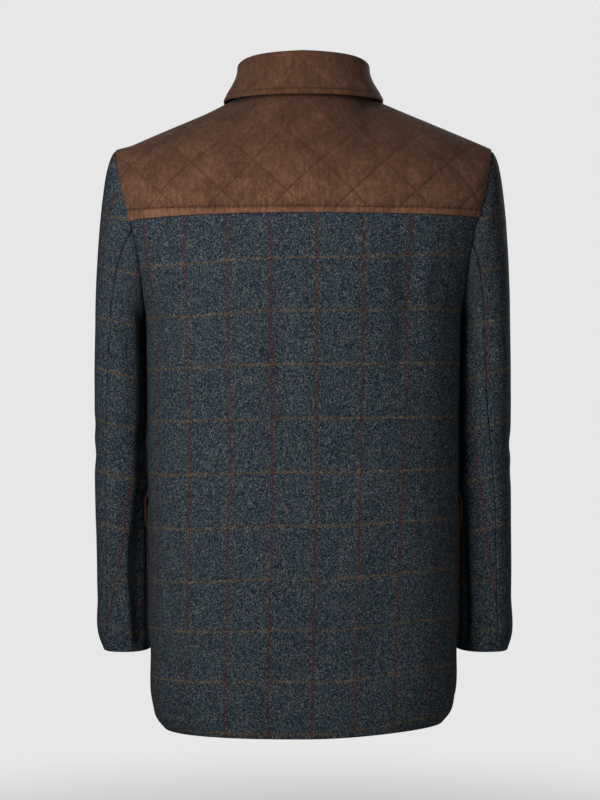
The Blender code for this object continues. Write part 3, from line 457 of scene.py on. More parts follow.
SUEDE_TONES = (
    (0.00, (0.044, 0.0195, 0.0112)),
    (0.40, (0.097, 0.0440, 0.0252)),
    (0.60, (0.128, 0.0590, 0.0342)),
    (1.00, (0.245, 0.1190, 0.0690)),
)
SUEDE_SHARES = (0.95, 0.95, 0.85)
SUEDE_STROKE = (1.0, 1.0, 0.45)
STROKE_HEIGHT = 0.6
SUEDE_SHEEN = 0.08
THREAD_TONES = ((0.3, (0.060, 0.029, 0.018)), (0.7, (0.105, 0.051, 0.032)))
HORN_TONES = (
    (0.30, (0.012, 0.007, 0.004)),
    (0.55, (0.050, 0.026, 0.013)),
    (0.75, (0.150, 0.085, 0.040)),
)
HORN_STRETCH = (1.0, 1.0, 0.3)

# Grain, relief and gloss of the materials
Noise = namedtuple("Noise", "scale detail roughness")
TWEED_SPECKLE = Noise(900.0, 1.0, 0.60)
TWEED_CLOUDS = Noise(70.0, 3.0, 0.65)
TWEED_WANDER = Noise(22.0, 2.0, 0.50)
TWEED_FAINT = Noise(60.0, 3.0, 0.70)
TWEED_FUZZ = Noise(1800.0, 3.0, 0.70)
SUEDE_CLOUDS = Noise(30.0, 4.0, 0.70)
SUEDE_STROKES = Noise(190.0, 4.0, 0.70)
SUEDE_NAP = Noise(700.0, 2.0, 0.65)
THREAD_TWIST = Noise(2600.0, 2.0, 0.50)
HORN_STREAKS = Noise(260.0, 5.0, 0.65)
Finish = namedtuple("Finish", "bump strength rough_low rough_high specular")
TWEED_FINISH = Finish(0.0004, 0.45, 0.84, 0.98, 0.10)
SUEDE_FINISH = Finish(0.0003, 0.45, 0.80, 0.97, 0.10)
THREAD_FINISH = Finish(0.0002, 0.40, 0.55, 0.75, 0.30)
HORN_FINISH = Finish(0.0001, 0.20, 0.28, 0.42, 0.50)
ROUGH_FROM, ROUGH_TO = 0.2, 0.8

# Floor and light
FLOOR_Z = -0.99
FLOOR_SIDES = 96
FLOOR_RADIUS = 1.0
FLOOR_FADE_FROM = 0.3
FLOOR_ROUGHNESS = 0.9
BACKGROUND = 0.80
FLOOR_SHOWN = 0.40
FLOOR_COLOUR = 0.60
AMBIENT = 0.09
LIGHT_TARGET = (0.04, 0.08, -0.26)
LIGHTS = (
    ("key", (0.72, 1.15, 0.02), (0.6, 0.8), 13.0),
    ("fill", (-0.75, 2.4, 0.0), (1.2, 1.4), 9.0),
    ("top", (0.2, 0.8, 1.5), (1.2, 0.9), 1.5),
    ("front", (-0.9, -1.9, 0.3), (1.2, 1.4), 22.0),
)


# Small tools


def smooth_step(x):
    x = np.clip(x, 0.0, 1.0)
    return x * x * (3.0 - 2.0 * x)


def bell(x, width):
    return np.exp(-((x / width) ** 2))


def joined(*parts):
    """Coordinates put together on a new last axis."""
    return np.stack(parts, axis=-1)


def along(table, key, name, at):
    """A table's column at some values of its key column, on a smooth curve through its rows."""
    keys = np.array([getattr(row, key) for row in table])
    values = np.array([getattr(row, name) for row in table])
    slopes = np.gradient(values, keys)
    at = np.clip(at, keys[0], keys[-1])
    i = np.clip(np.searchsorted(keys, at) - 1, 0, len(keys) - 2)
    span = keys[i + 1] - keys[i]
    t = (at - keys[i]) / span
    rise = t * t * (3.0 - 2.0 * t)
    return (
        values[i] * (1.0 - rise)
        + values[i + 1] * rise
        + slopes[i] * span * t * (1.0 - t) ** 2
        - slopes[i + 1] * span * t * t * (1.0 - t)
    )


def bezier(p0, p1, p2, p3, t):
    """Points of cubic curves, at shares t along them. The last axis holds x, y and z."""
    t = np.asarray(t)[..., None]
    r = 1.0 - t
    return r**3 * p0 + 3 * r * r * t * p1 + 3 * r * t * t * p2 + t**3 * p3


def unit(vectors):
    return vectors / np.maximum(np.linalg.norm(vectors, axis=-1, keepdims=True), 1e-12)


def grid_normals(grid):
    """Outward normals of a grid whose columns run anticlockwise from above and whose rows run up."""
    return unit(np.cross(np.gradient(grid, axis=1), np.gradient(grid, axis=0)))


def mirrored(grid):
    """A grid's mirror image across X, with the columns still running anticlockwise."""
    return grid[:, ::-1] * np.array([-1.0, 1.0, 1.0])


def lengths_along(lines):
    """Running length of polylines along their second-last axis."""
    steps = np.linalg.norm(np.diff(lines, axis=-2), axis=-1)
    zero = np.zeros(steps.shape[:-1] + (1,))
    return np.concatenate([zero, np.cumsum(steps, axis=-1)], axis=-1)


def point_at(line, lengths, distance):
    return np.stack([np.interp(distance, lengths, line[:, k]) for k in range(3)], axis=-1)


# Form of the coat, as in its solids


def armhole_depth(front, z):
    """How far in front of or behind the side seam the armhole's edge lies at height z."""
    depth = ARMHOLE_FRONT if front else ARMHOLE_BACK
    share = (z - ARMHOLE_MIDDLE) / ARMHOLE_HALF
    return depth * math.sqrt(max(0.0, 1.0 - share * share)) if z > ARMHOLE_BOTTOM else 0.0


@lru_cache(maxsize=None)
def half_section(front, z):
    """One half of a body section, from its centre to the side seam or armhole, and its running length."""
    width = along(BODY, "z", "half_width", z)
    depth = along(BODY, "z", "front_depth" if front else "back_depth", z)
    power = along(BODY, "z", "power", z)
    edge = math.asin((armhole_depth(front, z) / depth) ** (power / 2))
    angles = np.linspace(math.pi / 2, edge, DENSE)
    x = width * np.abs(np.cos(angles)) ** (2 / power)
    y = depth * np.abs(np.sin(angles)) ** (2 / power)
    line = joined(x, -y if front else y, np.full_like(x, z))
    return line, lengths_along(line)


def section_length(front, z):
    return half_section(front, z)[1][-1]


def drape(front, shares, z):
    """How far soft folds move the cloth in from the plain form."""
    depth = np.zeros_like(shares)
    for fold in FOLDS:
        if fold.front == front:
            across = (shares - fold.share) * section_length(front, z) / fold.half_width
            up = (z - fold.z) / fold.half_height
            depth += fold.depth * np.exp(-(across**2) - up**2)
    return depth


def hem_lifted(points):
    """The hem sits a little higher on the right side."""
    across = smooth_step(-points[..., 0] / HEM_LIFT_REACH)
    down = smooth_step((HEM_LIFT_FROM - points[..., 2]) / (HEM_LIFT_FROM - HEM_LIFT_TO))
    points = points.copy()
    points[..., 2] += HEM_LIFT * across * down
    return points


def body_row(front, shares, z):
    """Points of the body form at height z. A share is 0 at the centre and 1 at the left edge."""
    line, lengths = half_section(front, z)
    points = point_at(line, lengths, np.abs(shares) * lengths[-1])
    points[:, 0] *= np.sign(shares)
    inward = unit(-points * np.array([1.0, 2.0, 0.0]))
    return points + inward * drape(front, shares, z)[:, None]


def top_row(front, shares, for_right=False):
    """The upper edge of the body: the neck curve, then the shoulder line, which dips on the left.

    for_right is True for the shape on the left that is mirrored to the right later.
    """
    size = np.abs(shares)
    turn = np.minimum(size / NECK_SHARE, 1.0) * math.pi / 2
    out = np.clip((size - NECK_SHARE) / (1.0 - NECK_SHARE), 0.0, 1.0)
    x = NECK_HALF * np.sin(turn) + (SHOULDER_HALF - NECK_HALF) * out
    reach = -NECK_FRONT if front else NECK_BACK
    drop = NECK_FRONT_DROP if front else 0.0
    y = reach * np.cos(turn)
    dip = smooth_step(out / DIP_START) * (1.0 - smooth_step((out - DIP_END) / (1.0 - DIP_END)))
    z = -drop * np.cos(turn) ** NECK_DROP_POWER - SHOULDER_DROP * out
    z -= np.where(shares > 0, 0.0 if for_right else LEFT_SHOULDER_DIP, 0.0) * dip
    return joined(x * np.sign(shares), y, z)


def upper_columns(front, shares, for_right=False):
    """Curves from the yoke line up to the neck or the shoulder line, one for each share."""
    low = body_row(front, shares, YOKE_LINE)
    below = body_row(front, shares, YOKE_LINE - SLOPE_STEP)
    high = top_row(front, shares, for_right)
    span = np.linalg.norm(high - low, axis=-1, keepdims=True)
    size = np.abs(shares)
    pitch = np.radians(along(TOP_EDGE, "share", "front_pitch" if front else "back_pitch", size))
    pull = along(TOP_EDGE, "share", "pull", size)[:, None]
    away = joined(np.zeros_like(pitch), np.cos(pitch), -np.sin(pitch))
    if front:
        away[:, 1] *= -1.0
    lower_pull = low + unit(low - below) * span * LOWER_PULL
    upper_pull = high + away * span * pull
    t = np.linspace(0.0, 1.0, DENSE)
    return bezier(low[:, None], lower_pull[:, None], upper_pull[:, None], high[:, None], t[None])


def front_yoke_depths(shares):
    """Distance from the upper edge down to the front yoke's seam."""
    rise = smooth_step((shares - FRONT_YOKE_START) / (NECK_SHARE - FRONT_YOKE_START + FRONT_YOKE_EASE))
    return FRONT_YOKE_LEAST + (FRONT_YOKE_DEPTH - FRONT_YOKE_LEAST) * rise


def shoulder_seam_distance(shares):
    """How far behind the shoulder line its seam lies."""
    out = smooth_step((np.abs(shares) - NECK_SHARE) / (1.0 - NECK_SHARE))
    ends = np.where(shares > 0, SHOULDER_SEAM_BACK["left"], SHOULDER_SEAM_BACK["right"])
    return np.where(np.abs(shares) < NECK_SHARE, 0.0, SHOULDER_SEAM_LEAST + ends * out)


def quilt_steps(across, up):
    """Steps to the nearest line of each family of quilting lines, on the grid of quilt steps."""
    rising = (across - up - QUILT_RISING) % QUILT_STEPS_ACROSS
    falling = (across + up - QUILT_FALLING) % QUILT_STEPS_ACROSS
    return (
        np.minimum(rising, QUILT_STEPS_ACROSS - rising),
        np.minimum(falling, QUILT_STEPS_ACROSS - falling),
    )


def quilt_relief(across, up):
    """Height of the padding between the lines of stitching, from 0 to 1."""
    rising, falling = quilt_steps(across, up)
    near = np.minimum(rising, falling)
    return np.sqrt(np.clip(near / 2.0, 0.0, 1.0))


@lru_cache(maxsize=None)
def edge_line(front):
    """The body's left armhole edge from the armpit up to the shoulder point, with the normals there."""
    near = np.array(EDGE_SHARES)
    heights = ARMHOLE_BOTTOM + (YOKE_LINE - ARMHOLE_BOTTOM) * np.linspace(0.0, 1.0, EDGE_HEIGHTS) ** 2
    lower = np.array([body_row(front, near, z) for z in heights])
    upper = np.swapaxes(upper_columns(front, near), 0, 1)[1:]
    pair = np.concatenate([lower, upper])
    up = np.gradient(pair[:, 0], axis=0)
    inward = pair[:, 1] - pair[:, 0]
    normals = unit(np.cross(inward, up))
    return pair[:, 0], -normals if front else normals


def armhole_loop(angles):
    """Armhole points and body normals. 0 is the shoulder point, 90 the back, 180 the armpit."""
    heights = ARMHOLE_MIDDLE + ARMHOLE_HALF * np.cos(angles)
    points = np.zeros((len(angles), 3))
    normals = np.zeros((len(angles), 3))
    for front in (False, True):
        line, across = edge_line(front)
        here = (np.sin(angles) < 0) == front
        for k in range(3):
            points[here, k] = np.interp(heights[here], line[:, 2], line[:, k])
            normals[here, k] = np.interp(heights[here], line[:, 2], across[:, k])
    return points, unit(normals)


def signed_power(value, power):
    return np.sign(value) * np.abs(value) ** power


def sleeve_ring(side, angles, z):
    """A level section of the sleeve. Its inner side slants, further from the body at the back."""
    outer = along(SLEEVE, "z", "outer_" + side, z)
    inner = along(SLEEVE, "z", "inner", z)
    slant = along(SLEEVE, "z", "slant_" + side, z)
    middle = along(SLEEVE, "z", "middle", z)
    depth = along(SLEEVE, "z", "half_depth", z)
    out = signed_power(np.cos(angles), 2 / SLEEVE_POWER)
    back = signed_power(np.sin(angles), 2 / SLEEVE_POWER)
    x = (outer + inner) / 2 + (outer - inner) / 2 * out
    x += slant * (1.0 - out) / 2 * ((1.0 + back) / 2 - SLANT_PIVOT)
    return joined(x, middle + depth * back, np.full_like(x, z))


def sleeve_cap(side, angles, t):
    """Points of the sleeve head, from the armhole at t 0 to the first ring at t 1, and body normals."""
    degrees = np.degrees(angles) % 360.0
    out, back, down = (along(CAP, "angle", name, degrees) for name in CapStart._fields[1:])
    lead = joined(out, back, -down)
    loop, normals = armhole_loop(angles)
    start = loop + unit(lead) * ARMHOLE_GAP
    ring = sleeve_ring(side, angles, SLEEVE_CAP_END)
    pull = np.zeros_like(ring)
    pull[:, 2] = (loop[:, 2] - ring[:, 2]) * CAP_PULL
    return bezier(start, start + lead, ring + pull, ring, np.full(len(angles), t)), normals


def sleeve_angles(side, piece, z):
    """Angles of a sleeve piece's columns, with one more column past each seam."""
    back = math.radians(along(SLEEVE_SEAMS, "z", "back_" + side, z))
    front = math.radians(along(SLEEVE_SEAMS, "z", "front", z))
    gap = SEAM_GAP / 2 / SLEEVE_MEAN_RADIUS
    if piece == "top":
        angles = np.linspace(front - 2 * math.pi + gap, back - gap, SLEEVE_COLUMNS)
    else:
        angles = np.linspace(back + gap, front - gap, SLEEVE_COLUMNS)
    step = angles[1] - angles[0]
    return np.concatenate([[angles[0] - step], angles, [angles[-1] + step]])


def neck_frame(angles):
    """Points of the neck curve and the level directions away from it. 0 is the centre back."""
    size = np.abs(angles)
    back = size <= math.pi / 2
    x = NECK_HALF * np.sin(angles)
    y = np.where(back, NECK_BACK, NECK_FRONT) * np.cos(angles)
    z = np.where(back, 0.0, -NECK_FRONT_DROP * np.abs(np.cos(angles)) ** NECK_DROP_POWER)
    points = joined(x, y, z)
    flow = np.gradient(points, axis=0)
    out = unit(joined(flow[:, 1], -flow[:, 0], np.zeros(len(angles))))
    return points, out * np.sign(np.sum(out * points, axis=-1, keepdims=True))


def stand_profile(row):
    """Middle line of the collar stand as (out, up) pairs, from just inside the neck seam up."""
    top = row.height - STAND_BELOW_FOLD
    t = np.linspace(0.0, 1.0, STAND_ROWS)
    out = (row.fold_out + STAND_TUCK) * t - STAND_TUCK
    return joined(out, (top + STAND_DOWN) * t - STAND_DOWN)


def fall_profile(row):
    """Middle line of the collar fall, from the stand over the roll and down to the edge."""
    start = np.array([[row.fold_out, row.height - STAND_BELOW_FOLD + SEAM_GAP]])
    turn = np.linspace(math.pi, 0.0, ROLL_ROWS)
    roll = joined(
        row.fold_out + COLLAR_ROLL + COLLAR_ROLL * np.cos(turn),
        row.height - COLLAR_ROLL + COLLAR_ROLL * np.sin(turn),
    )
    edge = np.array([row.flare, -row.cover])
    pull = roll[-1] + np.array(FALL_PULL)
    push = edge + np.array(EDGE_PUSH)
    fall = bezier(roll[-1], pull, push, edge, np.linspace(0.0, 1.0, FALL_ROWS)[1:])
    return np.concatenate([start, roll, fall])


def height_under(points):
    """Height of the shoulders under some points near the neck, seen from above."""
    shares = np.linspace(-1.0, 1.0, UNDER_COLUMNS)
    sheet = np.concatenate([upper_columns(front, shares).reshape(-1, 3) for front in (False, True)])
    heights = []
    for point in points:
        far = np.sum((sheet[:, :2] - point[:2]) ** 2, axis=-1)
        near = np.argsort(far)[:UNDER_NEAREST]
        heights.append(np.max(sheet[near, 2]))
    return np.array(heights)


def collar_rows():
    """Sections of the collar all round the neck, whose edge stays clear of the shoulders."""
    angles = np.radians(np.linspace(-COLLAR_END, COLLAR_END, COLLAR_COLUMNS))
    necks, outs = neck_frame(angles)
    rows = []
    for angle in np.degrees(np.abs(angles)):
        rows.append([along(COLLAR, "angle", name, angle) for name in CollarSection._fields[1:]])
    rows = np.array(rows)
    edges = necks + outs * rows[:, 3:4]
    clear = height_under(edges) + COLLAR_CLEAR
    rows[:, 2] = necks[:, 2] - np.maximum(necks[:, 2] - rows[:, 2], clear)
    return necks, outs, [CollarSection(angle, *row) for angle, row in zip(angles, rows)]


def collar_faces(profile):
    """Grids of the two faces of a collar piece made from one profile for each section."""
    faces = ([], [])
    for neck, out, row in zip(*collar_rows()):
        line = profile(row)
        flow = unit(np.gradient(line, axis=0))
        side = joined(-flow[:, 1], flow[:, 0])
        for face, sign in zip(faces, (1.0, -1.0)):
            flat = line + side * sign * COLLAR_WALL / 2
            face.append(neck + flat[:, :1] * out + flat[:, 1:] * np.array([0.0, 0.0, 1.0]))
    return [np.swapaxes(np.array(face), 0, 1) for face in faces]


def corner_inset(rise, radius):
    """How far a rounded lower corner draws the side in, at a rise above the bottom."""
    drop = np.clip(radius - rise, 0.0, radius)
    return radius - np.sqrt(radius * radius - drop * drop)


def patch(bottom, top, width, from_seam, corner):
    """Distances and heights of a patch with rounded lower corners. Columns run towards the side seam."""
    rise = corner * (1.0 - np.cos(np.linspace(CORNER_START, math.pi / 2, CORNER_ROWS)))
    heights = np.concatenate([bottom + rise[:-1], np.linspace(bottom + corner, top, POCKET_ROWS)])
    inset = corner_inset(heights - bottom, corner)
    near = from_seam + inset
    far = from_seam + width - inset
    t = np.linspace(0.0, 1.0, POCKET_COLUMNS)[None]
    distances = far[:, None] + (near - far)[:, None] * t
    return distances, np.broadcast_to(heights[:, None], distances.shape)


def gusset_paths():
    """The U-shaped strip round a pocket: outer and inner edges as distances and heights."""
    edges = []
    for inset in (0.0, GUSSET_WIDTH):
        radius = POCKET_CORNER - inset
        near, far = POCKET_FROM_SEAM + inset, POCKET_FROM_SEAM + POCKET_WIDTH - inset
        low = POCKET_BOTTOM + inset
        turn = np.linspace(0.0, math.pi / 2, CORNER_ROWS)
        side = np.linspace(POCKET_TOP, low + radius, GUSSET_SIDE_ROWS + 1)[:-1]
        base = np.linspace(far - radius, near + radius, POCKET_COLUMNS)[1:-1]
        distances = np.concatenate(
            [
                np.full(GUSSET_SIDE_ROWS, far),
                far - radius + radius * np.cos(turn),
                base,
                near + radius - radius * np.sin(turn),
                np.full(GUSSET_SIDE_ROWS, near),
            ]
        )
        heights = np.concatenate(
            [
                side,
                low + radius - radius * np.sin(turn),
                np.full(len(base), low),
                low + radius - radius * np.cos(turn),
                side[::-1],
            ]
        )
        edges.append((distances, heights))
    return np.array([e[0] for e in edges]), np.array([e[1] for e in edges])


# Shells


def edge_spaced(low, high, count):
    """Values from low to high, closer together at both ends, where the cloth's edge is rounded."""
    near = np.array(EDGE_ROWS) * np.sign(high - low)
    inner = np.linspace(low + near[-1], high - near[-1], count)[1:-1]
    return np.concatenate([low + near, inner, (high - near)[::-1]])


def border_distance(grid):
    """Distance of each point of a grid from the nearest border, along its row or column."""
    nearest = None
    for axis in (0, 1):
        lengths = lengths_along(np.swapaxes(grid, 0, 1) if axis == 0 else grid)
        near = np.minimum(lengths, lengths[:, -1:] - lengths)
        near = near.T if axis == 0 else near
        nearest = near if nearest is None else np.minimum(nearest, near)
    return nearest


def rounded(outer, inner):
    """The two faces drawn together at the borders, so that the cloth's edges are round."""
    share = np.clip(border_distance(outer) / EDGE_ROUND, 0.0, 1.0)
    squeeze = (EDGE_LEAST + (1.0 - EDGE_LEAST) * np.sqrt(1.0 - (1.0 - share) ** 2))[..., None]
    middle = (outer + inner) / 2
    return middle + (outer - middle) * squeeze, middle + (inner - middle) * squeeze


def grid_faces(rows, columns):
    """Faces of a closed shell between two grids of points that are listed one after the other."""
    index = np.arange(rows * columns).reshape(rows, columns)
    other = index + rows * columns
    outer = joined(index[:-1, :-1], index[:-1, 1:], index[1:, 1:], index[1:, :-1])
    inner = outer[..., ::-1] + rows * columns
    rims = []
    for near, far in ((index[0], other[0]), (other[-1], index[-1]), (index[:, -1], other[:, -1]),
                      (other[:, 0], index[:, 0])):
        rims.append(joined(far[:-1], far[1:], near[1:], near[:-1]))
    return np.concatenate([outer.reshape(-1, 4), inner.reshape(-1, 4), *rims])


def add_mesh(name, points, faces, material):
    """A smooth mesh object that rides on the coat."""
    mesh = bpy.data.meshes.new(name)
    mesh.from_pydata(np.asarray(points).tolist(), [], [list(face) for face in faces])
    mesh.materials.append(material)
    mesh.shade_smooth()
    obj = bpy.data.objects.new(name, mesh)
    bpy.context.scene.collection.objects.link(obj)
    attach(obj, "root")
    return obj


def fix_normals(obj):
    shape = bmesh.new()
    shape.from_mesh(obj.data)
    bmesh.ops.recalc_face_normals(shape, faces=shape.faces)
    shape.to_mesh(obj.data)
    shape.free()


def shell(node, outer, inner, cloth, material, slot, painted_light=PAINTED_LIGHT_PLAIN):
    """A thin closed shell that stands for a node. cloth holds its cloth coordinates in metres.

    painted_light is painted light and shade on the suede, from 0 (painted shade in a groove) to 1 (painted
    highlight on a raised edge).
    """
    outer, inner = rounded(outer, inner)
    rows, columns = outer.shape[:2]
    points = np.concatenate([outer.reshape(-1, 3), inner.reshape(-1, 3)])
    obj = add_mesh("cloth_" + node, points, grid_faces(rows, columns), material)
    fix_normals(obj)
    mesh = obj.data
    corners = np.zeros(len(mesh.loops), dtype=np.int32)
    mesh.loops.foreach_get("vertex_index", corners)
    layer = mesh.uv_layers.new(name="cloth")
    layer.data.foreach_set("uv", cloth.reshape(-1, 2)[corners % (rows * columns)].ravel())
    if slot == "suede":
        # per-point painted light and shade, read by the suede material
        painted_light_layer = mesh.attributes.new("painted_light", "FLOAT", "POINT")
        painted_light_layer.data.foreach_set("value", np.tile(np.broadcast_to(painted_light, (rows, columns)).ravel(), 2))
    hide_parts(node)
    return obj


def mirrored_cloth(cloth):
    return cloth[:, ::-1] * np.array([-1.0, 1.0])


def crease_depth(piece, across, up):
    """How far the listed creases of a piece move its cloth in, at cloth coordinates."""
    depth = np.zeros_like(across)
    for crease in CREASES:
        if crease.piece == piece:
            lean = math.radians(crease.lean)
            du = across - crease.across
            dv = up - crease.up
            length = du * math.sin(lean) + dv * math.cos(lean)
            beside = du * math.cos(lean) - dv * math.sin(lean) + crease.bow * length**2
            width = crease.width * (1.0 + CREASE_TAPER * np.tanh(length / crease.length))
            depth += crease.depth * np.exp(-((beside / width) ** 2) - (length / crease.length) ** 4)
    return depth


def ripple(across, up, seed):
    """A soft unevenness of the cloth, from -1 to 1."""
    phases = np.random.default_rng(seed).uniform(0.0, 2 * math.pi, (len(RIPPLES), 2))
    total = np.zeros_like(across)
    for wave, (first, second) in zip(RIPPLES, phases):
        total += wave.share * np.sin(across * wave.across + up * wave.slant + first) * np.sin(
            up * wave.up - across * wave.slant + second
        )
    return total


def settled(piece, grid, cloth, seed):
    """A grid moved in or out by its creases and its unevenness, which fade towards its borders."""
    across, up = cloth[..., 0], cloth[..., 1]
    fade = smooth_step(border_distance(grid) / CREASE_EDGE)
    depth = crease_depth(piece, across, up) + RIPPLE * ripple(across, up, seed)
    return grid - grid_normals(grid) * (depth * fade)[..., None]


# Body


def hem_groove(cloth):
    """Depth of the faint line of sewing above the hem."""
    up = cloth[..., 1] + COAT_LENGTH - HEM_STITCH_UP
    return HEM_GROOVE * bell(up, HEM_GROOVE_WIDTH)


def hem_rows(top, count):
    """Heights of a body panel's rows, closer together at the line of sewing above the hem."""
    stitch = -COAT_LENGTH + HEM_STITCH_UP
    close = np.linspace(stitch - 2 * HEM_GROOVE_WIDTH, stitch + 2 * HEM_GROOVE_WIDTH, HEM_GROOVE_ROWS)
    plain = edge_spaced(-COAT_LENGTH, top, count)
    apart = np.min(np.abs(plain[:, None] - close[None]), axis=1) > HEM_GROOVE_WIDTH / 2
    return np.sort(np.concatenate([plain[apart], close]))


def body_cloth(arcs, heights):
    """Cloth coordinates of points of the body, at lengths round it from its centre and heights."""
    drift = {name: along(DRIFTS, "z", name, heights) for name in Drift._fields[1:]}
    to_left = smooth_step((arcs - DRIFT_START) / DRIFT_REACH)
    to_right = smooth_step((-arcs - DRIFT_START) / DRIFT_REACH)
    sag = drift["middle"] * (1.0 - to_left - to_right) + drift["left"] * to_left + drift["right"] * to_right
    pinch = drift["pinch_left"] * to_left - drift["pinch_right"] * to_right
    return joined((arcs - drift["lean"] + pinch) * (1.0 + drift["narrow"]), heights + sag)


def body_grid(front, heights, first, columns):
    """Points and cloth coordinates of a body panel, from a share of the section, or its right edge, to
    its left edge or back.
    """
    rows, cloth = [], []
    for z in heights:
        length = section_length(front, z)
        edge = length - SEAM_GAP / 2
        start, end = (edge, -edge) if first is None else (first * length, edge)
        arcs = edge_spaced(start, end, columns)
        rows.append(body_row(front, arcs / length, z))
        cloth.append(body_cloth(arcs, np.full_like(arcs, z)))
    return hem_lifted(np.array(rows)), np.array(cloth)


def body_shell(node, grid, cloth, seed, tweed):
    outer = settled(node, grid, cloth, seed)
    normals = grid_normals(outer)
    outer -= normals * hem_groove(cloth)[..., None]
    shell(node, outer, outer - normals * TWEED_WALL, cloth, tweed, "tweed")


def back_shell(tweed):
    heights = hem_rows(YOKE_LINE - BACK_TOP_GAP, BACK_ROWS)
    grid, cloth = body_grid(False, heights, None, BACK_COLUMNS)
    body_shell("back", grid, cloth, BACK_SEED, tweed)


def front_grid(lift, for_right=False):
    """Points and cloth coordinates of the left front, from the centre front to the side seam."""
    heights = hem_rows(YOKE_LINE - SURFACE_STEP, FRONT_ROWS)
    lower, lower_cloth = body_grid(True, heights, -FRONT_OVERLAP, FRONT_COLUMNS)
    length = section_length(True, YOKE_LINE)
    arcs = edge_spaced(-FRONT_OVERLAP * length, length - SEAM_GAP / 2, FRONT_COLUMNS)
    shares = arcs / length
    columns = upper_columns(True, shares, for_right)
    lengths = lengths_along(columns)
    at_neck = shares < FRONT_YOKE_START
    ends = lengths[:, -1] - np.where(at_neck, 0.0, front_yoke_depths(shares) + FRONT_YOKE_GAP)
    whole = np.max(ends)
    ups = edge_spaced(0.0, whole, FRONT_UPPER_ROWS)[None] / whole * ends[:, None]
    upper = np.array([point_at(columns[c], lengths[c], ups[c]) for c in range(len(arcs))])
    upper_cloth = body_cloth(np.broadcast_to(arcs[:, None], ups.shape), YOKE_LINE + ups)
    grid = np.concatenate([lower, np.swapaxes(upper, 0, 1)])
    cloth = np.concatenate([lower_cloth, np.swapaxes(upper_cloth, 0, 1)])
    fade = smooth_step((shares - PLACKET_FROM) / PLACKET_FADE)
    return grid + grid_normals(grid) * (lift * (1.0 - fade))[None, :, None], cloth


def front_shells(tweed):
    for side, lift in (("left", PLACKET_LIFT), ("right", 0.0)):
        grid, cloth = front_grid(lift, side == "right")
        if side == "right":
            grid, cloth = hem_lifted(mirrored(grid)), mirrored_cloth(cloth)
        body_shell("front_" + side, grid, cloth, FRONT_SEEDS[side], tweed)


# Yoke


def eased(grid, from_neck_point, below_edge):
    """A yoke grid whose cloth is eased round below each neck point, instead of folded there."""
    near = bell(from_neck_point, EASE_REACH)[None]
    share = near * smooth_step(below_edge / EASE_UNDER_COLLAR - 1.0)
    soft = grid.copy()
    for _ in range(EASE_PASSES):
        soft[:, 1:-1] = soft[:, 1:-1] / 2 + (soft[:, :-2] + soft[:, 2:]) / 4
    return grid + (soft - grid) * share[..., None]


def yoke_form():
    """Points, distances across and distances up of the back yoke's inner face."""
    half = section_length(False, YOKE_LINE)
    across = edge_spaced(half - YOKE_EDGE_TRIM, YOKE_EDGE_TRIM - half, YOKE_COLUMNS)
    shares = across / half
    drops = YOKE_LAP + np.where(shares > 0, YOKE_END_DROP["left"], YOKE_END_DROP["right"]) * shares**2
    columns = upper_columns(False, shares)
    lengths = lengths_along(columns)
    ends = lengths[:, -1] - shoulder_seam_distance(shares)
    whole = np.max(ends + drops)
    ups = edge_spaced(0.0, whole, YOKE_ROWS)[:, None] / whole * (ends + drops)[None] - drops[None]
    low = columns[:, 0]
    fall = (body_row(False, shares, YOKE_LINE - SLOPE_STEP) - low) / SLOPE_STEP
    grid = np.array([point_at(columns[c], lengths[c], ups[:, c]) for c in range(len(across))])
    grid = grid.swapaxes(0, 1)
    grid += fall[None] * np.maximum(-ups, 0.0)[..., None]
    grid = eased(grid, np.abs(across) - NECK_SHARE * half, ends - ups)
    return grid, np.broadcast_to(across[None], ups.shape), ups, ends


def pucker(across, seed):
    """Uneven small gathers along a line of sewing, from -1 to 1."""
    phases = np.random.default_rng(seed).uniform(0.0, 2 * math.pi, len(PUCKERS))
    total = np.zeros_like(across)
    for share, wave, phase in zip(PUCKER_SHARES, PUCKERS, phases):
        total += share * np.sin(2 * math.pi * across / wave + phase + np.sin(across * PUCKER_DRIFT + phase))
    return total


def pulls(across, ups, seed):
    """Where single stitches pull the edge in: 1 in the middle of a pull, 0 between them."""
    rng = np.random.default_rng(seed)
    total = np.zeros_like(across)
    at = np.min(across)
    while at < np.max(across):
        at += rng.uniform(*PULL_SPACING)
        reach = PULL_REACH * rng.uniform(*PULL_REACHES)
        slant = rng.uniform(*PULL_SLANTS)
        beside = (across - at - slant * ups) / PULL_WIDTH
        total += rng.uniform(*PULL_STRENGTHS) * np.exp(-(beside**2) - (ups / reach) ** 2)
    return total


def quilt_fade(ups):
    """How much of the quilting shows: it is pressed flat towards the collar and the shoulders."""
    gone = smooth_step((ups - QUILT_STRONG) / (QUILT_GONE - QUILT_STRONG))
    return 1.0 - (1.0 - QUILT_LEFT_OVER) * gone


def yoke_relief(across, ups, ends):
    """Height of the suede over its plain wall: padded quilting, and the sewn and gathered lower edge."""
    half = np.max(across)
    relief = quilt_relief(across / QUILT_STEP, ups / QUILT_STEP) * quilt_fade(ups)
    relief = relief * smooth_step((ends - ups) / QUILT_STEP / QUILT_FADE_TOP)
    relief = relief * smooth_step((half - np.abs(across)) / QUILT_STEP / QUILT_FADE_SIDE)
    relief = relief * smooth_step(ups / QUILT_STEP) * QUILT_PUFF
    strip = EDGE_PUFF * smooth_step(-ups / EDGE_PUFF_REACH)
    gathers = PUCKER_DEPTH * pucker(across, PUCKER_SEED) * bell(ups, PUCKER_REACH)
    gathers -= PULL_DEPTH * pulls(across, ups, PULL_SEED)
    groove = YOKE_GROOVE * bell(ups, SEWN_WIDTH)
    return relief + strip + gathers - groove


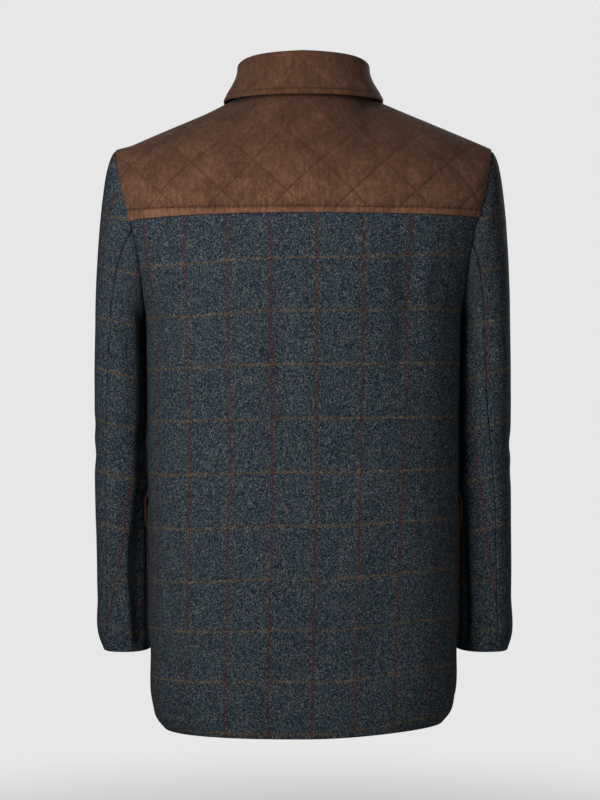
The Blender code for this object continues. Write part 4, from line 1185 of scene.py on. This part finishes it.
def yoke_painted_light(across, ups):
    """Painted light on the yoke: painted shade in the quilting grooves, along the sewn line and in the
    pulled dents, a painted highlight on the raised gathered lower edge, lighter low down and painted shade
    towards the top.
    """
    rising, falling = quilt_steps(across / QUILT_STEP, ups / QUILT_STEP)
    to_metres = QUILT_STEP * math.sqrt(0.5)
    quilted = bell(falling * to_metres, QUILT_LINE)
    quilted = np.maximum(quilted, QUILT_CROSS_SHARE * bell(rising * to_metres, QUILT_LINE))
    quilted = np.where(ups > 0, quilted, 0.0) * quilt_fade(ups)
    # painted light near the lower edge, turning to painted shade towards the top of the yoke
    nap = PAINTED_LIGHT_LOW - (PAINTED_LIGHT_LOW + PAINTED_SHADE_TOP) * smooth_step(ups / PAINTED_SHADE_REACH)
    # painted highlight on the raised lower strip, following the heights of its gathers
    uneven = 1.0 - EDGE_HIGHLIGHT_UNEVEN + EDGE_HIGHLIGHT_UNEVEN * pucker(across, PUCKER_SEED)
    edge = smooth_step(-ups / EDGE_HIGHLIGHT_REACH) * uneven
    sewn = bell(ups, SEWN_WIDTH)
    pulled = pulls(across, ups, PULL_SEED)
    # painted shade in the grooves of the quilting, along the sewn line and in the pulled dents
    painted_shade = QUILT_PAINTED_SHADE * quilted + SEWN_PAINTED_SHADE * sewn + PULL_PAINTED_SHADE * pulled
    return PAINTED_LIGHT_PLAIN + nap + EDGE_PAINTED_HIGHLIGHT * edge - painted_shade


def yoke_shell(suede):
    grid, across, ups, ends = yoke_form()
    normals = grid_normals(grid)
    inner = grid + normals * LAP_GAP
    outer = inner + normals * (SUEDE_WALL + yoke_relief(across, ups, ends))[..., None]
    cloth = joined(across, ups)
    shell("yoke_back", outer, inner, cloth, suede, "suede", yoke_painted_light(across, ups))
    return outer, grid_normals(outer), across, ups, ends


def front_yoke_grid(side):
    """Points of a front yoke on the left, from its seam on the front over the shoulder to the back yoke."""
    length = section_length(False, YOKE_LINE)
    arcs = edge_spaced(FRONT_YOKE_START * length, length - YOKE_EDGE_TRIM, FRONT_YOKE_COLUMNS)
    shares = arcs / length
    sign = 1.0 if side == "left" else -1.0
    reach = np.maximum(shoulder_seam_distance(shares * sign) - SHOULDER_SEAM_GAP, 0.0)
    depths = front_yoke_depths(shares)
    sheets = []
    for front in (True, False):
        columns = upper_columns(front, shares, side == "right")
        sheets.append((columns, lengths_along(columns)))
    rows = []
    whole = FRONT_YOKE_DEPTH
    for t in edge_spaced(0.0, whole, FRONT_YOKE_ROWS) / whole:
        row = []
        for c in range(len(shares)):
            past = t * (depths[c] + reach[c]) - depths[c]
            lines, lengths = sheets[1] if past > 0 else sheets[0]
            row.append(point_at(lines[c], lengths[c], lengths[c, -1] - abs(past)))
        rows.append(row)
    grid = np.array(rows)
    cloth = joined(np.broadcast_to(arcs[None], grid.shape[:2]), grid[..., 1])
    return grid, cloth


def front_yoke_shells(suede):
    for side in ("left", "right"):
        grid, cloth = front_yoke_grid(side)
        if side == "right":
            grid, cloth = mirrored(grid), mirrored_cloth(cloth)
        inner = grid - grid_normals(grid) * SUEDE_WALL
        shell("yoke_front_" + side, grid, inner, cloth, suede, "suede")


# Sleeves


def sleeve_cloth(side, piece, outer):
    """Cloth coordinates of a sleeve piece as on the left, whose check leans with its cut."""
    arcs = lengths_along(outer)
    heights = np.mean(outer[..., 2], axis=1)
    from_seam = along(SLEEVE_LINES, "z", piece + "_" + side, heights)
    at = arcs[:, -2] - from_seam if piece == "top" else arcs[:, 1] + from_seam
    start = CHECK_START_ACROSS if side == "left" else -CHECK_START_ACROSS
    up = outer[..., 2] - SLEEVE_TILT * (outer[..., 0] - SLEEVE_LEVEL_AT)
    return joined(arcs - at[:, None] + start, up + SLEEVE_CHECK_SHIFT)


def inner_turn(side, outer):
    """How far the cloth goes in where a sleeve's back turns sharply to its inner side."""
    x, y, z = np.moveaxis(outer, -1, 0)
    edge = along(TURNS, "z", side, z)
    half = (edge - TURN_INNER) / 2
    hollow = np.minimum(half, TURN_HOLLOW) * bell(x - edge + half, half)
    ridge = TURN_RIDGE * bell(x - edge - TURN_RIDGE_OUT, TURN_RIDGE_WIDTH)
    depth = hollow - ridge
    return depth * smooth_step((y - TURN_FROM) / TURN_REACH) * smooth_step((TURN_TOP - z) / TURN_FADE)


def sleeve_grids(side, piece):
    """The outer and inner grids of a sleeve piece as on the left, cuff first, and its cloth coordinates."""
    heights = edge_spaced(SLEEVE[0].z, SLEEVE_CAP_END, SLEEVE_TUBE_ROWS)
    rows = [sleeve_ring(side, sleeve_angles(side, piece, z), z) for z in heights]
    body_normals = None
    span = SLEEVE_SEAMS[-1].z - SLEEVE_CAP_END
    for t in 1.0 - edge_spaced(0.0, span, SLEEVE_CAP_ROWS)[1:] / span:
        z = SLEEVE_CAP_END + span * (1.0 - t)
        points, body_normals = sleeve_cap(side, sleeve_angles(side, piece, z), t)
        rows.append(points)
    outer = np.array(rows)
    cloth = sleeve_cloth(side, piece, outer)
    normals = grid_normals(outer)
    normals[-1] = unit(normals[-1] + body_normals)
    fade = smooth_step(border_distance(outer) / CREASE_EDGE)
    depth = crease_depth("sleeve_" + side, outer[..., 0] - SLEEVE_LEVEL_AT, outer[..., 2])
    uneven = RIPPLE * ripple(cloth[..., 0], cloth[..., 1], SLEEVE_SEEDS[side])
    depth += inner_turn(side, outer) + uneven
    outer = outer - normals * (depth * fade)[..., None]
    inner = outer - normals * TWEED_WALL
    return outer[:, 1:-1], inner[:, 1:-1], cloth[:, 1:-1]


def sleeve_shells(tweed):
    for piece in ("top", "under"):
        for side in ("left", "right"):
            outer, inner, cloth = sleeve_grids(side, piece)
            if side == "right":
                outer, inner, cloth = mirrored(outer), mirrored(inner), mirrored_cloth(cloth)
            shell("sleeve_" + piece + "_" + side, outer, inner, cloth, tweed, "tweed")


# Collar


def collar_cloth(face):
    along_neck = lengths_along(face[len(face) // 2][None])[0]
    down = lengths_along(np.swapaxes(face, 0, 1)).T
    return joined(np.broadcast_to(along_neck[None], down.shape), down)


def collar_shells(suede):
    outer, inner = collar_faces(stand_profile)
    shell("collar_stand", outer, inner, collar_cloth(outer), suede, "suede")
    outer, inner = collar_faces(fall_profile)
    cloth = collar_cloth(outer)
    above_edge = cloth[-1:, :, 1] - cloth[..., 1]
    sewn = bell(above_edge - COLLAR_STITCH_UP, COLLAR_SEWN_WIDTH)
    gathers = COLLAR_PUCKER * pucker(cloth[..., 0], COLLAR_SEED) * bell(above_edge, COLLAR_PUCKER_REACH)
    out = unit(outer - inner)
    outer = outer + out * (gathers - COLLAR_GROOVE * sewn)[..., None]
    # painted shade along the collar's sewn groove
    shell("collar_fall", outer, inner, cloth, suede, "suede", PAINTED_LIGHT_PLAIN - COLLAR_SEWN_PAINTED_SHADE * sewn)
    return outer, out, above_edge


# Pockets


def on_front(distances, heights, offsets):
    """Grid of points that stand off the plain left front, at distances from the side seam and heights."""
    points = np.zeros(distances.shape + (3,))
    for z in np.unique(heights):
        here = heights == z
        length = section_length(True, z)
        shares = 1.0 - distances[here] / length
        step = SURFACE_STEP / length
        across = body_row(True, shares + step, z) - body_row(True, shares - step, z)
        up = body_row(True, shares, z + SURFACE_STEP) - body_row(True, shares, z - SURFACE_STEP)
        out = unit(np.cross(across, up))
        off = np.broadcast_to(offsets, heights.shape)[here]
        points[here] = body_row(True, shares, z) + out * off[:, None]
    return points


def pocket_pair(node, outer, inner, cloth, material, slot):
    """A pocket piece on the left side, and its mirror image on the right."""
    shell(node + "_left", outer, inner, cloth, material, slot)
    outer, inner = hem_lifted(mirrored(outer)), hem_lifted(mirrored(inner))
    shell(node + "_right", outer, inner, mirrored_cloth(cloth), material, slot)


def pocket_cloth(distances, heights):
    length = section_length(True, POCKET_BOTTOM)
    return joined(length - distances, heights)


def pocket_shells(tweed, suede):
    """The bellows pockets, and the grids of their faces and flaps for the sewing."""
    base = POCKET_GAP
    distances, heights = gusset_paths()
    t = np.linspace(0.0, 1.0, GUSSET_ROWS)[:, None]
    distances = distances[0] + (distances[1] - distances[0]) * t
    heights = heights[0] + (heights[1] - heights[0]) * t
    top = base + GUSSET_WALL
    cloth = pocket_cloth(distances, heights)
    outer = on_front(distances, heights, top)
    pocket_pair("pocket_gusset", outer, on_front(distances, heights, base), cloth, suede, "suede")

    distances, heights = patch(POCKET_BOTTOM, POCKET_TOP, POCKET_WIDTH, POCKET_FROM_SEAM, POCKET_CORNER)
    under = top + POCKET_GAP
    face = on_front(distances, heights, under + POCKET_WALL)
    cloth = pocket_cloth(distances, heights)
    pocket_pair("pocket_face", face, on_front(distances, heights, under), cloth, tweed, "tweed")

    width = POCKET_WIDTH + 2 * FLAP_WIDER
    start = POCKET_FROM_SEAM - FLAP_WIDER
    distances, heights = patch(FLAP_BOTTOM, FLAP_TOP, width, start, FLAP_CORNER)
    over = under + POCKET_WALL + POCKET_GAP
    drop = smooth_step((FLAP_TOP - heights) / (FLAP_TOP - POCKET_TOP - FLAP_FOLD_CLEAR))
    flare = FLAP_FLARE * smooth_step((POCKET_TOP - heights) / (POCKET_TOP - FLAP_BOTTOM))
    lift = base + (over - base) * drop + flare
    flap = on_front(distances, heights, lift + FLAP_WALL)
    cloth = pocket_cloth(distances, heights)
    pocket_pair("pocket_flap", flap, on_front(distances, heights, lift), cloth, suede, "suede")
    return face, flap


# Buttons


def button_profile():
    """Radius and height pairs of a turned button, from the middle of its back round to its dished front."""
    r, h = BUTTON_RADIUS, BUTTON_THICKNESS
    turn = np.linspace(-0.5 * math.pi, 0.5 * math.pi, BUTTON_RIM_POINTS)
    rim = [(r - h / 2 + h / 2 * math.cos(a), h / 2 + h / 2 * math.sin(a)) for a in turn]
    dish = [(r * across, h * up) for across, up in BUTTON_DISH]
    return [(BUTTON_CENTRE, 0.0)] + rim + dish + [(BUTTON_CENTRE, h * BUTTON_HOLLOW)]


def button_seat(z):
    """The middle of a button's back on the left front, with the directions up and out there."""
    centre = np.array([0.0])
    heights = (z, z + SURFACE_STEP, z - SURFACE_STEP)
    if z < YOKE_LINE:
        here, over, under = (body_row(True, centre, at)[0] for at in heights)
    else:
        line = upper_columns(True, centre)[0]
        here, over, under = (point_at(line, line[:, 2], at) for at in heights)
    up = unit(over - under)
    out = np.cross(np.array([1.0, 0.0, 0.0]), up)
    return here + out * (PLACKET_LIFT + BUTTON_SEAT), up, out


def button_shells(horn, thread):
    across = np.array([1.0, 0.0, 0.0])
    threads = []
    for number, z in enumerate(BUTTON_HEIGHTS, start=1):
        seat, up, out = button_seat(z)
        profile = button_profile()
        turns = np.linspace(0.0, 2 * math.pi, BUTTON_SIDES, endpoint=False)
        points = []
        for radius, height in profile:
            rays = np.cos(turns)[:, None] * across + np.sin(turns)[:, None] * up
            points.append(seat + rays * radius + out * height)
        index = np.arange(len(profile) * BUTTON_SIDES).reshape(len(profile), BUTTON_SIDES)
        beside = np.roll(index, -1, axis=1)
        faces = joined(index[:-1], beside[:-1], beside[1:], index[1:]).reshape(-1, 4).tolist()
        faces += [index[0].tolist(), index[-1].tolist()]
        name = "button_" + str(number)
        obj = add_mesh("turned_" + name, np.concatenate(points), faces, horn)
        fix_normals(obj)
        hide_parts(name)
        for side in (-1.0, 1.0):
            middle = seat + out * (BUTTON_THICKNESS * THREAD_HEIGHT)
            middle = middle + across * side * BUTTON_RADIUS * THREAD_APART
            half = up * BUTTON_RADIUS * THREAD_HALF
            threads.append((np.array([middle - half, middle + half]), np.array([out, out])))
    pitch, length = BUTTON_RADIUS * THREAD_HALF * 2, BUTTON_RADIUS * BUTTON_STITCH
    stitches("stitch_buttons", threads, thread, pitch, length, THREAD_RADIUS * BUTTON_THREAD)


# Sewing


def sample(grid, row, column):
    """Points of a grid at fractional rows and columns."""
    rows, columns = grid.shape[:2]
    row = np.clip(row, 0.0, rows - INSIDE_LAST)
    column = np.clip(column, 0.0, columns - INSIDE_LAST)
    r, c = row.astype(int), column.astype(int)
    fr, fc = (row - r)[..., None], (column - c)[..., None]
    low = grid[r, c] * (1.0 - fc) + grid[r, c + 1] * fc
    high = grid[r + 1, c] * (1.0 - fc) + grid[r + 1, c + 1] * fc
    return low * (1.0 - fr) + high * fr


def stitches(name, lines, material, pitch=STITCH_PITCH, length=STITCH_LENGTH, radius=THREAD_RADIUS):
    """Stitches along lines of points and normals, short threads that dip into the cloth at both ends."""
    stations, sizes, lifts = np.array(STITCH_SHAPE).T
    turns = np.linspace(0.0, 2 * math.pi, STITCH_SIDES, endpoint=False)
    points = []
    for line, normals in lines:
        lengths = lengths_along(line)
        for at in np.arange(pitch / 2, lengths[-1], pitch):
            here = point_at(line, lengths, at)
            out = unit(point_at(normals, lengths, at))
            flow = unit(point_at(line, lengths, at + length / 2) - point_at(line, lengths, at - length / 2))
            side = np.cross(flow, out)
            middle = here + flow * (stations * length)[:, None] + out * (lifts * radius)[:, None]
            ring = np.cos(turns)[:, None] * side + np.sin(turns)[:, None] * out
            points.append(middle[:, None] + ring[None] * (sizes * radius)[:, None, None])
    rings = np.array(points)
    count = len(rings)
    index = np.arange(count * len(stations) * STITCH_SIDES).reshape(count, len(stations), STITCH_SIDES)
    beside = np.roll(index, -1, axis=2)
    walls = joined(index[:, :-1], beside[:, :-1], beside[:, 1:], index[:, 1:]).reshape(-1, 4)
    faces = walls.tolist() + index[:, 0, ::-1].tolist() + index[:, -1].tolist()
    obj = add_mesh(name, rings.reshape(-1, 3), faces, material)
    fix_normals(obj)
    return obj


def yoke_points(yoke, across, up):
    """Points and normals of the back yoke at distances across and up."""
    outer, normals, acrosses, ups, ends = yoke
    column = np.interp(-across, -acrosses[0], np.arange(acrosses.shape[1]))
    left = np.clip(column.astype(int), 0, acrosses.shape[1] - 1)
    row = np.array([np.interp(u, ups[:, c], np.arange(len(ups))) for u, c in zip(up, left)])
    return sample(outer, row, column), sample(normals, row, column)


def yoke_sewing(yoke, thread):
    """Quilting on both diagonals, and the line of sewing along the yoke's lower edge."""
    acrosses, ups, ends = yoke[2:]
    half = acrosses.max() - SEWING_MARGIN
    lines = []
    period = QUILT_STEP * QUILT_STEPS_ACROSS
    for slope, start in ((1.0, QUILT_RISING), (-1.0, QUILT_FALLING)):
        for k in range(-QUILT_LINES, QUILT_LINES + 1):
            up = np.arange(SEWING_MARGIN, ends.max(), STITCH_PITCH / 3)
            across = start * QUILT_STEP + k * period + slope * up
            top = np.interp(-across, -acrosses[0], ends) - SEWING_MARGIN
            inside = (np.abs(across) < half) & (up < top)
            if np.count_nonzero(inside) > QUILT_LEAST_POINTS:
                lines.append(yoke_points(yoke, across[inside], up[inside]))
    stitches("stitch_quilting", lines, thread)
    across = np.linspace(half, -half, YOKE_EDGE_POINTS)
    edge = [yoke_points(yoke, across, np.zeros_like(across))]
    stitches("stitch_yoke_edge", edge, thread)


def collar_sewing(collar, thread):
    outer, out, above_edge = collar
    columns = np.arange(COLLAR_SEWING_END, outer.shape[1] - COLLAR_SEWING_END).astype(float)
    rows = []
    for c in columns.astype(int):
        rows.append(np.interp(-COLLAR_STITCH_UP, -above_edge[:, c], np.arange(len(above_edge))))
    rows = np.array(rows)
    stitches("stitch_collar", [(sample(outer, rows, columns), sample(out, rows, columns))], thread)


def patch_sewing(name, grid, thread, sides):
    """Sewing round the lower corners of a pocket piece and up its sides, on both pockets."""
    inset = PATCH_INSET
    normals = grid_normals(grid)
    path = [(r, inset) for r in range(sides, inset, -1)]
    path += [(inset, c) for c in range(inset, grid.shape[1] - inset)]
    path += [(r, grid.shape[1] - 1 - inset) for r in range(inset, sides)]
    rows, columns = np.array(path).T
    line, out = grid[rows, columns], normals[rows, columns]
    flip = np.array([-1.0, 1.0, 1.0])
    stitches(name, [(line, out), (hem_lifted(line * flip), out * flip)], thread)


# Materials


class Graph:
    """A material's nodes, added by short calls that return output sockets."""

    def __init__(self, name):
        self.material = bpy.data.materials.new(name)
        self.material.use_nodes = True
        self.tree = self.material.node_tree
        self.shader = self.tree.nodes["Principled BSDF"]

    def feed(self, socket, value):
        if isinstance(value, bpy.types.NodeSocket):
            self.tree.links.new(value, socket)
        else:
            socket.default_value = value

    def node(self, kind, *inputs, **settings):
        """A node with its first inputs fed in order. None leaves an input as it is."""
        made = self.tree.nodes.new("ShaderNode" + kind)
        for name, value in settings.items():
            setattr(made, name, value)
        for socket, value in zip(made.inputs, inputs):
            if value is not None:
                self.feed(socket, value)
        return made

    def math(self, operation, *inputs):
        return self.node("Math", *inputs, operation=operation).outputs[0]

    def vector(self, x, y, z=0.0):
        return self.node("CombineXYZ", x, y, z).outputs[0]

    def noise(self, vector, noise):
        made = self.node("TexNoise", vector)
        for name in Noise._fields:
            made.inputs[name.capitalize()].default_value = getattr(noise, name)
        return made.outputs[0]

    def place(self, scale=None):
        """Places on the object in metres, stretched by a scale if one is given."""
        place = self.node("TexCoord").outputs["Object"]
        if scale is None:
            return place
        stretched = self.node("Mapping", place)
        stretched.inputs["Scale"].default_value = scale
        return stretched.outputs[0]

    def swing(self, pattern, share, middle):
        """A middle value moved up and down by a share of a pattern."""
        return self.math("MULTIPLY_ADD", self.math("SUBTRACT", pattern, 0.5), share, middle)

    def grain(self, x, y):
        """A random value for each whole step of x and y."""
        return self.node("TexWhiteNoise", self.vector(x, y), noise_dimensions="2D").outputs[0]

    def spread(self, value, low, high, to_low=0.0, to_high=1.0):
        """A value eased from one range to another, and kept inside it."""
        made = self.node("MapRange", value, low, high, to_low, to_high, interpolation_type="SMOOTHSTEP")
        return made.outputs[0]

    def ramp(self, value, stops):
        made = self.node("ValToRGB", value)
        elements = made.color_ramp.elements
        elements[0].position, elements[0].color = stops[0][0], (*stops[0][1], 1.0)
        elements[1].position, elements[1].color = stops[-1][0], (*stops[-1][1], 1.0)
        for place, colour in stops[1:-1]:
            elements.new(place).color = (*colour, 1.0)
        return made.outputs[0]

    def mix(self, factor, first, second, blend="MIX"):
        made = self.node("Mix", data_type="RGBA", blend_type=blend)
        for place, value in ((0, factor), (6, first), (7, second)):
            self.feed(made.inputs[place], value if not isinstance(value, tuple) else (*value, 1.0))
        return made.outputs[2]

    def dress(self, colour, height, gloss, finish, sheen=0.0):
        """A colour, relief of a height, and roughness that follows a gloss pattern."""
        made = self.node("Bump")
        made.inputs["Strength"].default_value = finish.strength
        made.inputs["Distance"].default_value = finish.bump
        self.feed(made.inputs["Height"], height)
        self.feed(self.shader.inputs["Normal"], made.outputs[0])
        rough = self.spread(gloss, ROUGH_FROM, ROUGH_TO, finish.rough_low, finish.rough_high)
        return self.finish(colour, rough, finish.specular, sheen)

    def finish(self, colour, roughness, specular, sheen=0.0):
        self.feed(self.shader.inputs["Base Color"], colour)
        self.feed(self.shader.inputs["Roughness"], roughness)
        self.shader.inputs["Specular IOR Level"].default_value = specular
        self.shader.inputs["Sheen Weight"].default_value = sheen
        return self.material


def check_line(graph, coordinate, period, start, half_width):
    """1 on the lines of a check, 0 between them, with soft sides."""
    place = graph.math("DIVIDE", graph.math("SUBTRACT", coordinate, start), period)
    apart = graph.math("MULTIPLY", graph.math("PINGPONG", place, 0.5), period)
    return graph.spread(apart, half_width * LINE_SOLID, half_width * LINE_GONE, 1.0, 0.0)


def tweed_threads(graph, place):
    """The twill's threads: their places, which of them is on top, and a random tone for each short run."""
    split = graph.node("SeparateXYZ", place)
    runs = [graph.math("DIVIDE", split.outputs[k], THREAD_PITCH) for k in (0, 1)]
    warp, weft = (graph.math("FLOOR", run) for run in runs)
    warp_shift = graph.grain(warp, 0.0)
    weft_shift = graph.grain(weft, WEFT_RUN_START)
    warp_run = graph.math("FLOOR", graph.math("MULTIPLY_ADD", runs[1], THREAD_RUN, warp_shift))
    weft_run = graph.math("FLOOR", graph.math("MULTIPLY_ADD", runs[0], THREAD_RUN, weft_shift))
    warp_tone = graph.grain(warp, warp_run)
    weft_tone = graph.grain(graph.math("ADD", weft, WEFT_START), weft_run)
    step = graph.math("WRAP", graph.math("ADD", warp, weft), TWILL_STEPS, 0.0)
    warp_up = graph.math("LESS_THAN", step, TWILL_UP)
    return split.outputs, runs, (warp, weft), (warp_tone, weft_tone), warp_up


def windowpane(graph, place, across_up, tones, warp_up, base):
    """The base colour with rust threads up and ochre threads across, faint in places."""
    wander = graph.noise(place, TWEED_WANDER)
    wander = graph.math("MULTIPLY_ADD", wander, 2 * WANDER_REACH, -WANDER_REACH)
    u, v = (graph.math("ADD", across_up[k], wander) for k in (0, 1))
    rust = check_line(graph, u, CHECK_ACROSS, CHECK_START_ACROSS, RUST_HALF_WIDTH)
    ochre = check_line(graph, v, CHECK_ALONG, CHECK_START_ALONG, OCHRE_HALF_WIDTH)
    weft_up = graph.math("SUBTRACT", 1.0, warp_up)
    faint = graph.noise(place, TWEED_FAINT)
    rust = graph.math("MULTIPLY", rust, graph.spread(warp_up, *RUST_WOVEN))
    rust = graph.math("MULTIPLY", rust, graph.spread(faint, *RUST_FAINT))
    ochre = graph.math("MULTIPLY", ochre, graph.spread(weft_up, *OCHRE_WOVEN))
    ochre = graph.math("MULTIPLY", ochre, graph.spread(faint, *OCHRE_FAINT))
    colour = graph.mix(ochre, base, graph.mix(tones[1], OCHRE_DARK, OCHRE_LIGHT))
    return graph.mix(rust, colour, graph.mix(tones[0], RUST_DARK, RUST_LIGHT))


def tweed_material():
    """Heathered wool twill with a windowpane of rust threads up and ochre threads across."""
    graph = Graph("tweed_cloth")
    place = graph.node("UVMap", uv_map="cloth").outputs[0]
    across_up, runs, threads, tones, warp_up = tweed_threads(graph, place)
    tone = graph.node("Mix", warp_up, None, tones[1], tones[0]).outputs[0]
    speckle = graph.noise(place, TWEED_SPECKLE)
    base = graph.ramp(graph.swing(speckle, SPECKLE_SHARE, tone), TWEED_TONES)
    clouds = graph.noise(place, TWEED_CLOUDS)
    base = graph.mix(graph.spread(clouds, *TEAL_SHOWN), base, TEAL)
    odd = graph.grain(*(graph.math("ADD", thread, start) for thread, start in zip(threads, STRAW_STARTS)))
    base = graph.mix(graph.spread(odd, *STRAW_SHOWN), base, STRAW)
    colour = windowpane(graph, place, across_up, tones, warp_up, base)
    ridges = [graph.math("PINGPONG", run, 0.5) for run in runs]
    ridge = graph.node("Mix", warp_up, None, ridges[1], ridges[0]).outputs[0]
    height = graph.math("ADD", graph.math("ADD", ridge, speckle), graph.noise(place, TWEED_FUZZ))
    return graph.dress(colour, height, speckle, TWEED_FINISH)


def suede_material():
    """Brushed brown suede, mottled where the nap lies another way, with painted light and shade from the
    per-point painted_light value.
    """
    graph = Graph("suede_nap")
    stroked = graph.place(SUEDE_STROKE)
    clouds = graph.noise(graph.place(), SUEDE_CLOUDS)
    strokes = graph.noise(stroked, SUEDE_STROKES)
    nap = graph.noise(stroked, SUEDE_NAP)
    tone = 0.5
    for pattern, share in zip((clouds, strokes, nap), SUEDE_SHARES):
        tone = graph.swing(pattern, share, tone)
    # painted light and shade stored on the suede shells shifts the suede's tone
    painted_light = graph.node("Attribute", attribute_name="painted_light").outputs["Fac"]
    colour = graph.ramp(graph.swing(painted_light, 1.0, tone), SUEDE_TONES)
    height = graph.math("MULTIPLY_ADD", strokes, STROKE_HEIGHT, nap)
    return graph.dress(colour, height, clouds, SUEDE_FINISH, SUEDE_SHEEN)


def thread_material():
    graph = Graph("sewing_thread")
    twist = graph.noise(graph.place(), THREAD_TWIST)
    return graph.dress(graph.ramp(twist, THREAD_TONES), twist, twist, THREAD_FINISH)


def horn_material():
    graph = Graph("dark_horn")
    streaks = graph.noise(graph.place(HORN_STRETCH), HORN_STREAKS)
    return graph.dress(graph.ramp(streaks, HORN_TONES), streaks, streaks, HORN_FINISH)


# Stage


def floor():
    """A pale floor under the coat that fades out into the pale background."""
    mesh = bpy.data.meshes.new("floor")
    turns = np.linspace(0.0, 2 * math.pi, FLOOR_SIDES, endpoint=False)
    ring = joined(np.cos(turns), np.sin(turns), np.zeros_like(turns)) * FLOOR_RADIUS
    mesh.from_pydata(ring.tolist(), [], [list(range(len(ring)))])
    graph = Graph("pale_floor")
    graph.finish((FLOOR_COLOUR, FLOOR_COLOUR, FLOOR_COLOUR, 1.0), FLOOR_ROUGHNESS, specular=0.0)
    far = graph.node("VectorMath", graph.place(), operation="LENGTH").outputs["Value"]
    shown = graph.spread(far, FLOOR_RADIUS * FLOOR_FADE_FROM, FLOOR_RADIUS, FLOOR_SHOWN, 0.0)
    graph.feed(graph.shader.inputs["Alpha"], shown)
    mesh.materials.append(graph.material)
    obj = bpy.data.objects.new("floor", mesh)
    obj.location = (0.0, 0.0, FLOOR_Z)
    bpy.context.scene.collection.objects.link(obj)


def area_light(name, place, target, size, power):
    light = bpy.data.lights.new(name, "AREA")
    light.shape = "RECTANGLE"
    light.size, light.size_y = size
    light.energy = power
    obj = bpy.data.objects.new(name, light)
    obj.location = place
    obj.rotation_euler = (Vector(target) - Vector(place)).to_track_quat("-Z", "Y").to_euler()
    obj.visible_camera = False
    bpy.context.scene.collection.objects.link(obj)


def lights():
    for name, place, size, power in LIGHTS:
        area_light(name, place, LIGHT_TARGET, size, power)
    world = bpy.data.worlds.new("studio")
    world.use_nodes = True
    tree = world.node_tree
    sky = tree.nodes["Background"]
    rays = tree.nodes.new("ShaderNodeLightPath")
    shown = tree.nodes.new("ShaderNodeMapRange")
    shown.inputs["To Min"].default_value = AMBIENT
    shown.inputs["To Max"].default_value = BACKGROUND
    tree.links.new(rays.outputs["Is Camera Ray"], shown.inputs["Value"])
    tree.links.new(shown.outputs[0], sky.inputs["Strength"])
    sky.inputs["Color"].default_value = (1.0, 1.0, 1.0, 1.0)
    bpy.context.scene.world = world


def camera():
    data = bpy.data.cameras.new("photo_camera")
    data.sensor_width = SENSOR
    data.lens = SENSOR * CAMERA_DISTANCE / (METRES_PER_PIXEL * PHOTO_HEIGHT)
    obj = bpy.data.objects.new("photo_camera", data)
    obj.location = (CAMERA_X, CAMERA_DISTANCE, CAMERA_Z)
    obj.rotation_euler = (math.pi / 2, 0.0, math.pi)
    bpy.context.scene.collection.objects.link(obj)
    bpy.context.scene.camera = obj
    bpy.context.scene.view_settings.view_transform = "Standard"


def main():
    camera()
    lights()
    floor()
    tweed = tweed_material()
    suede = suede_material()
    thread = thread_material()
    horn = horn_material()
    back_shell(tweed)
    front_shells(tweed)
    yoke = yoke_shell(suede)
    front_yoke_shells(suede)
    sleeve_shells(tweed)
    collar = collar_shells(suede)
    face, flap = pocket_shells(tweed, suede)
    button_shells(horn, thread)
    yoke_sewing(yoke, thread)
    collar_sewing(collar, thread)
    patch_sewing("stitch_pocket_faces", face, thread, len(face) - FACE_SEWING_END)
    patch_sewing("stitch_pocket_flaps", flap, thread, len(flap) - FLAP_SEWING_END)


main()
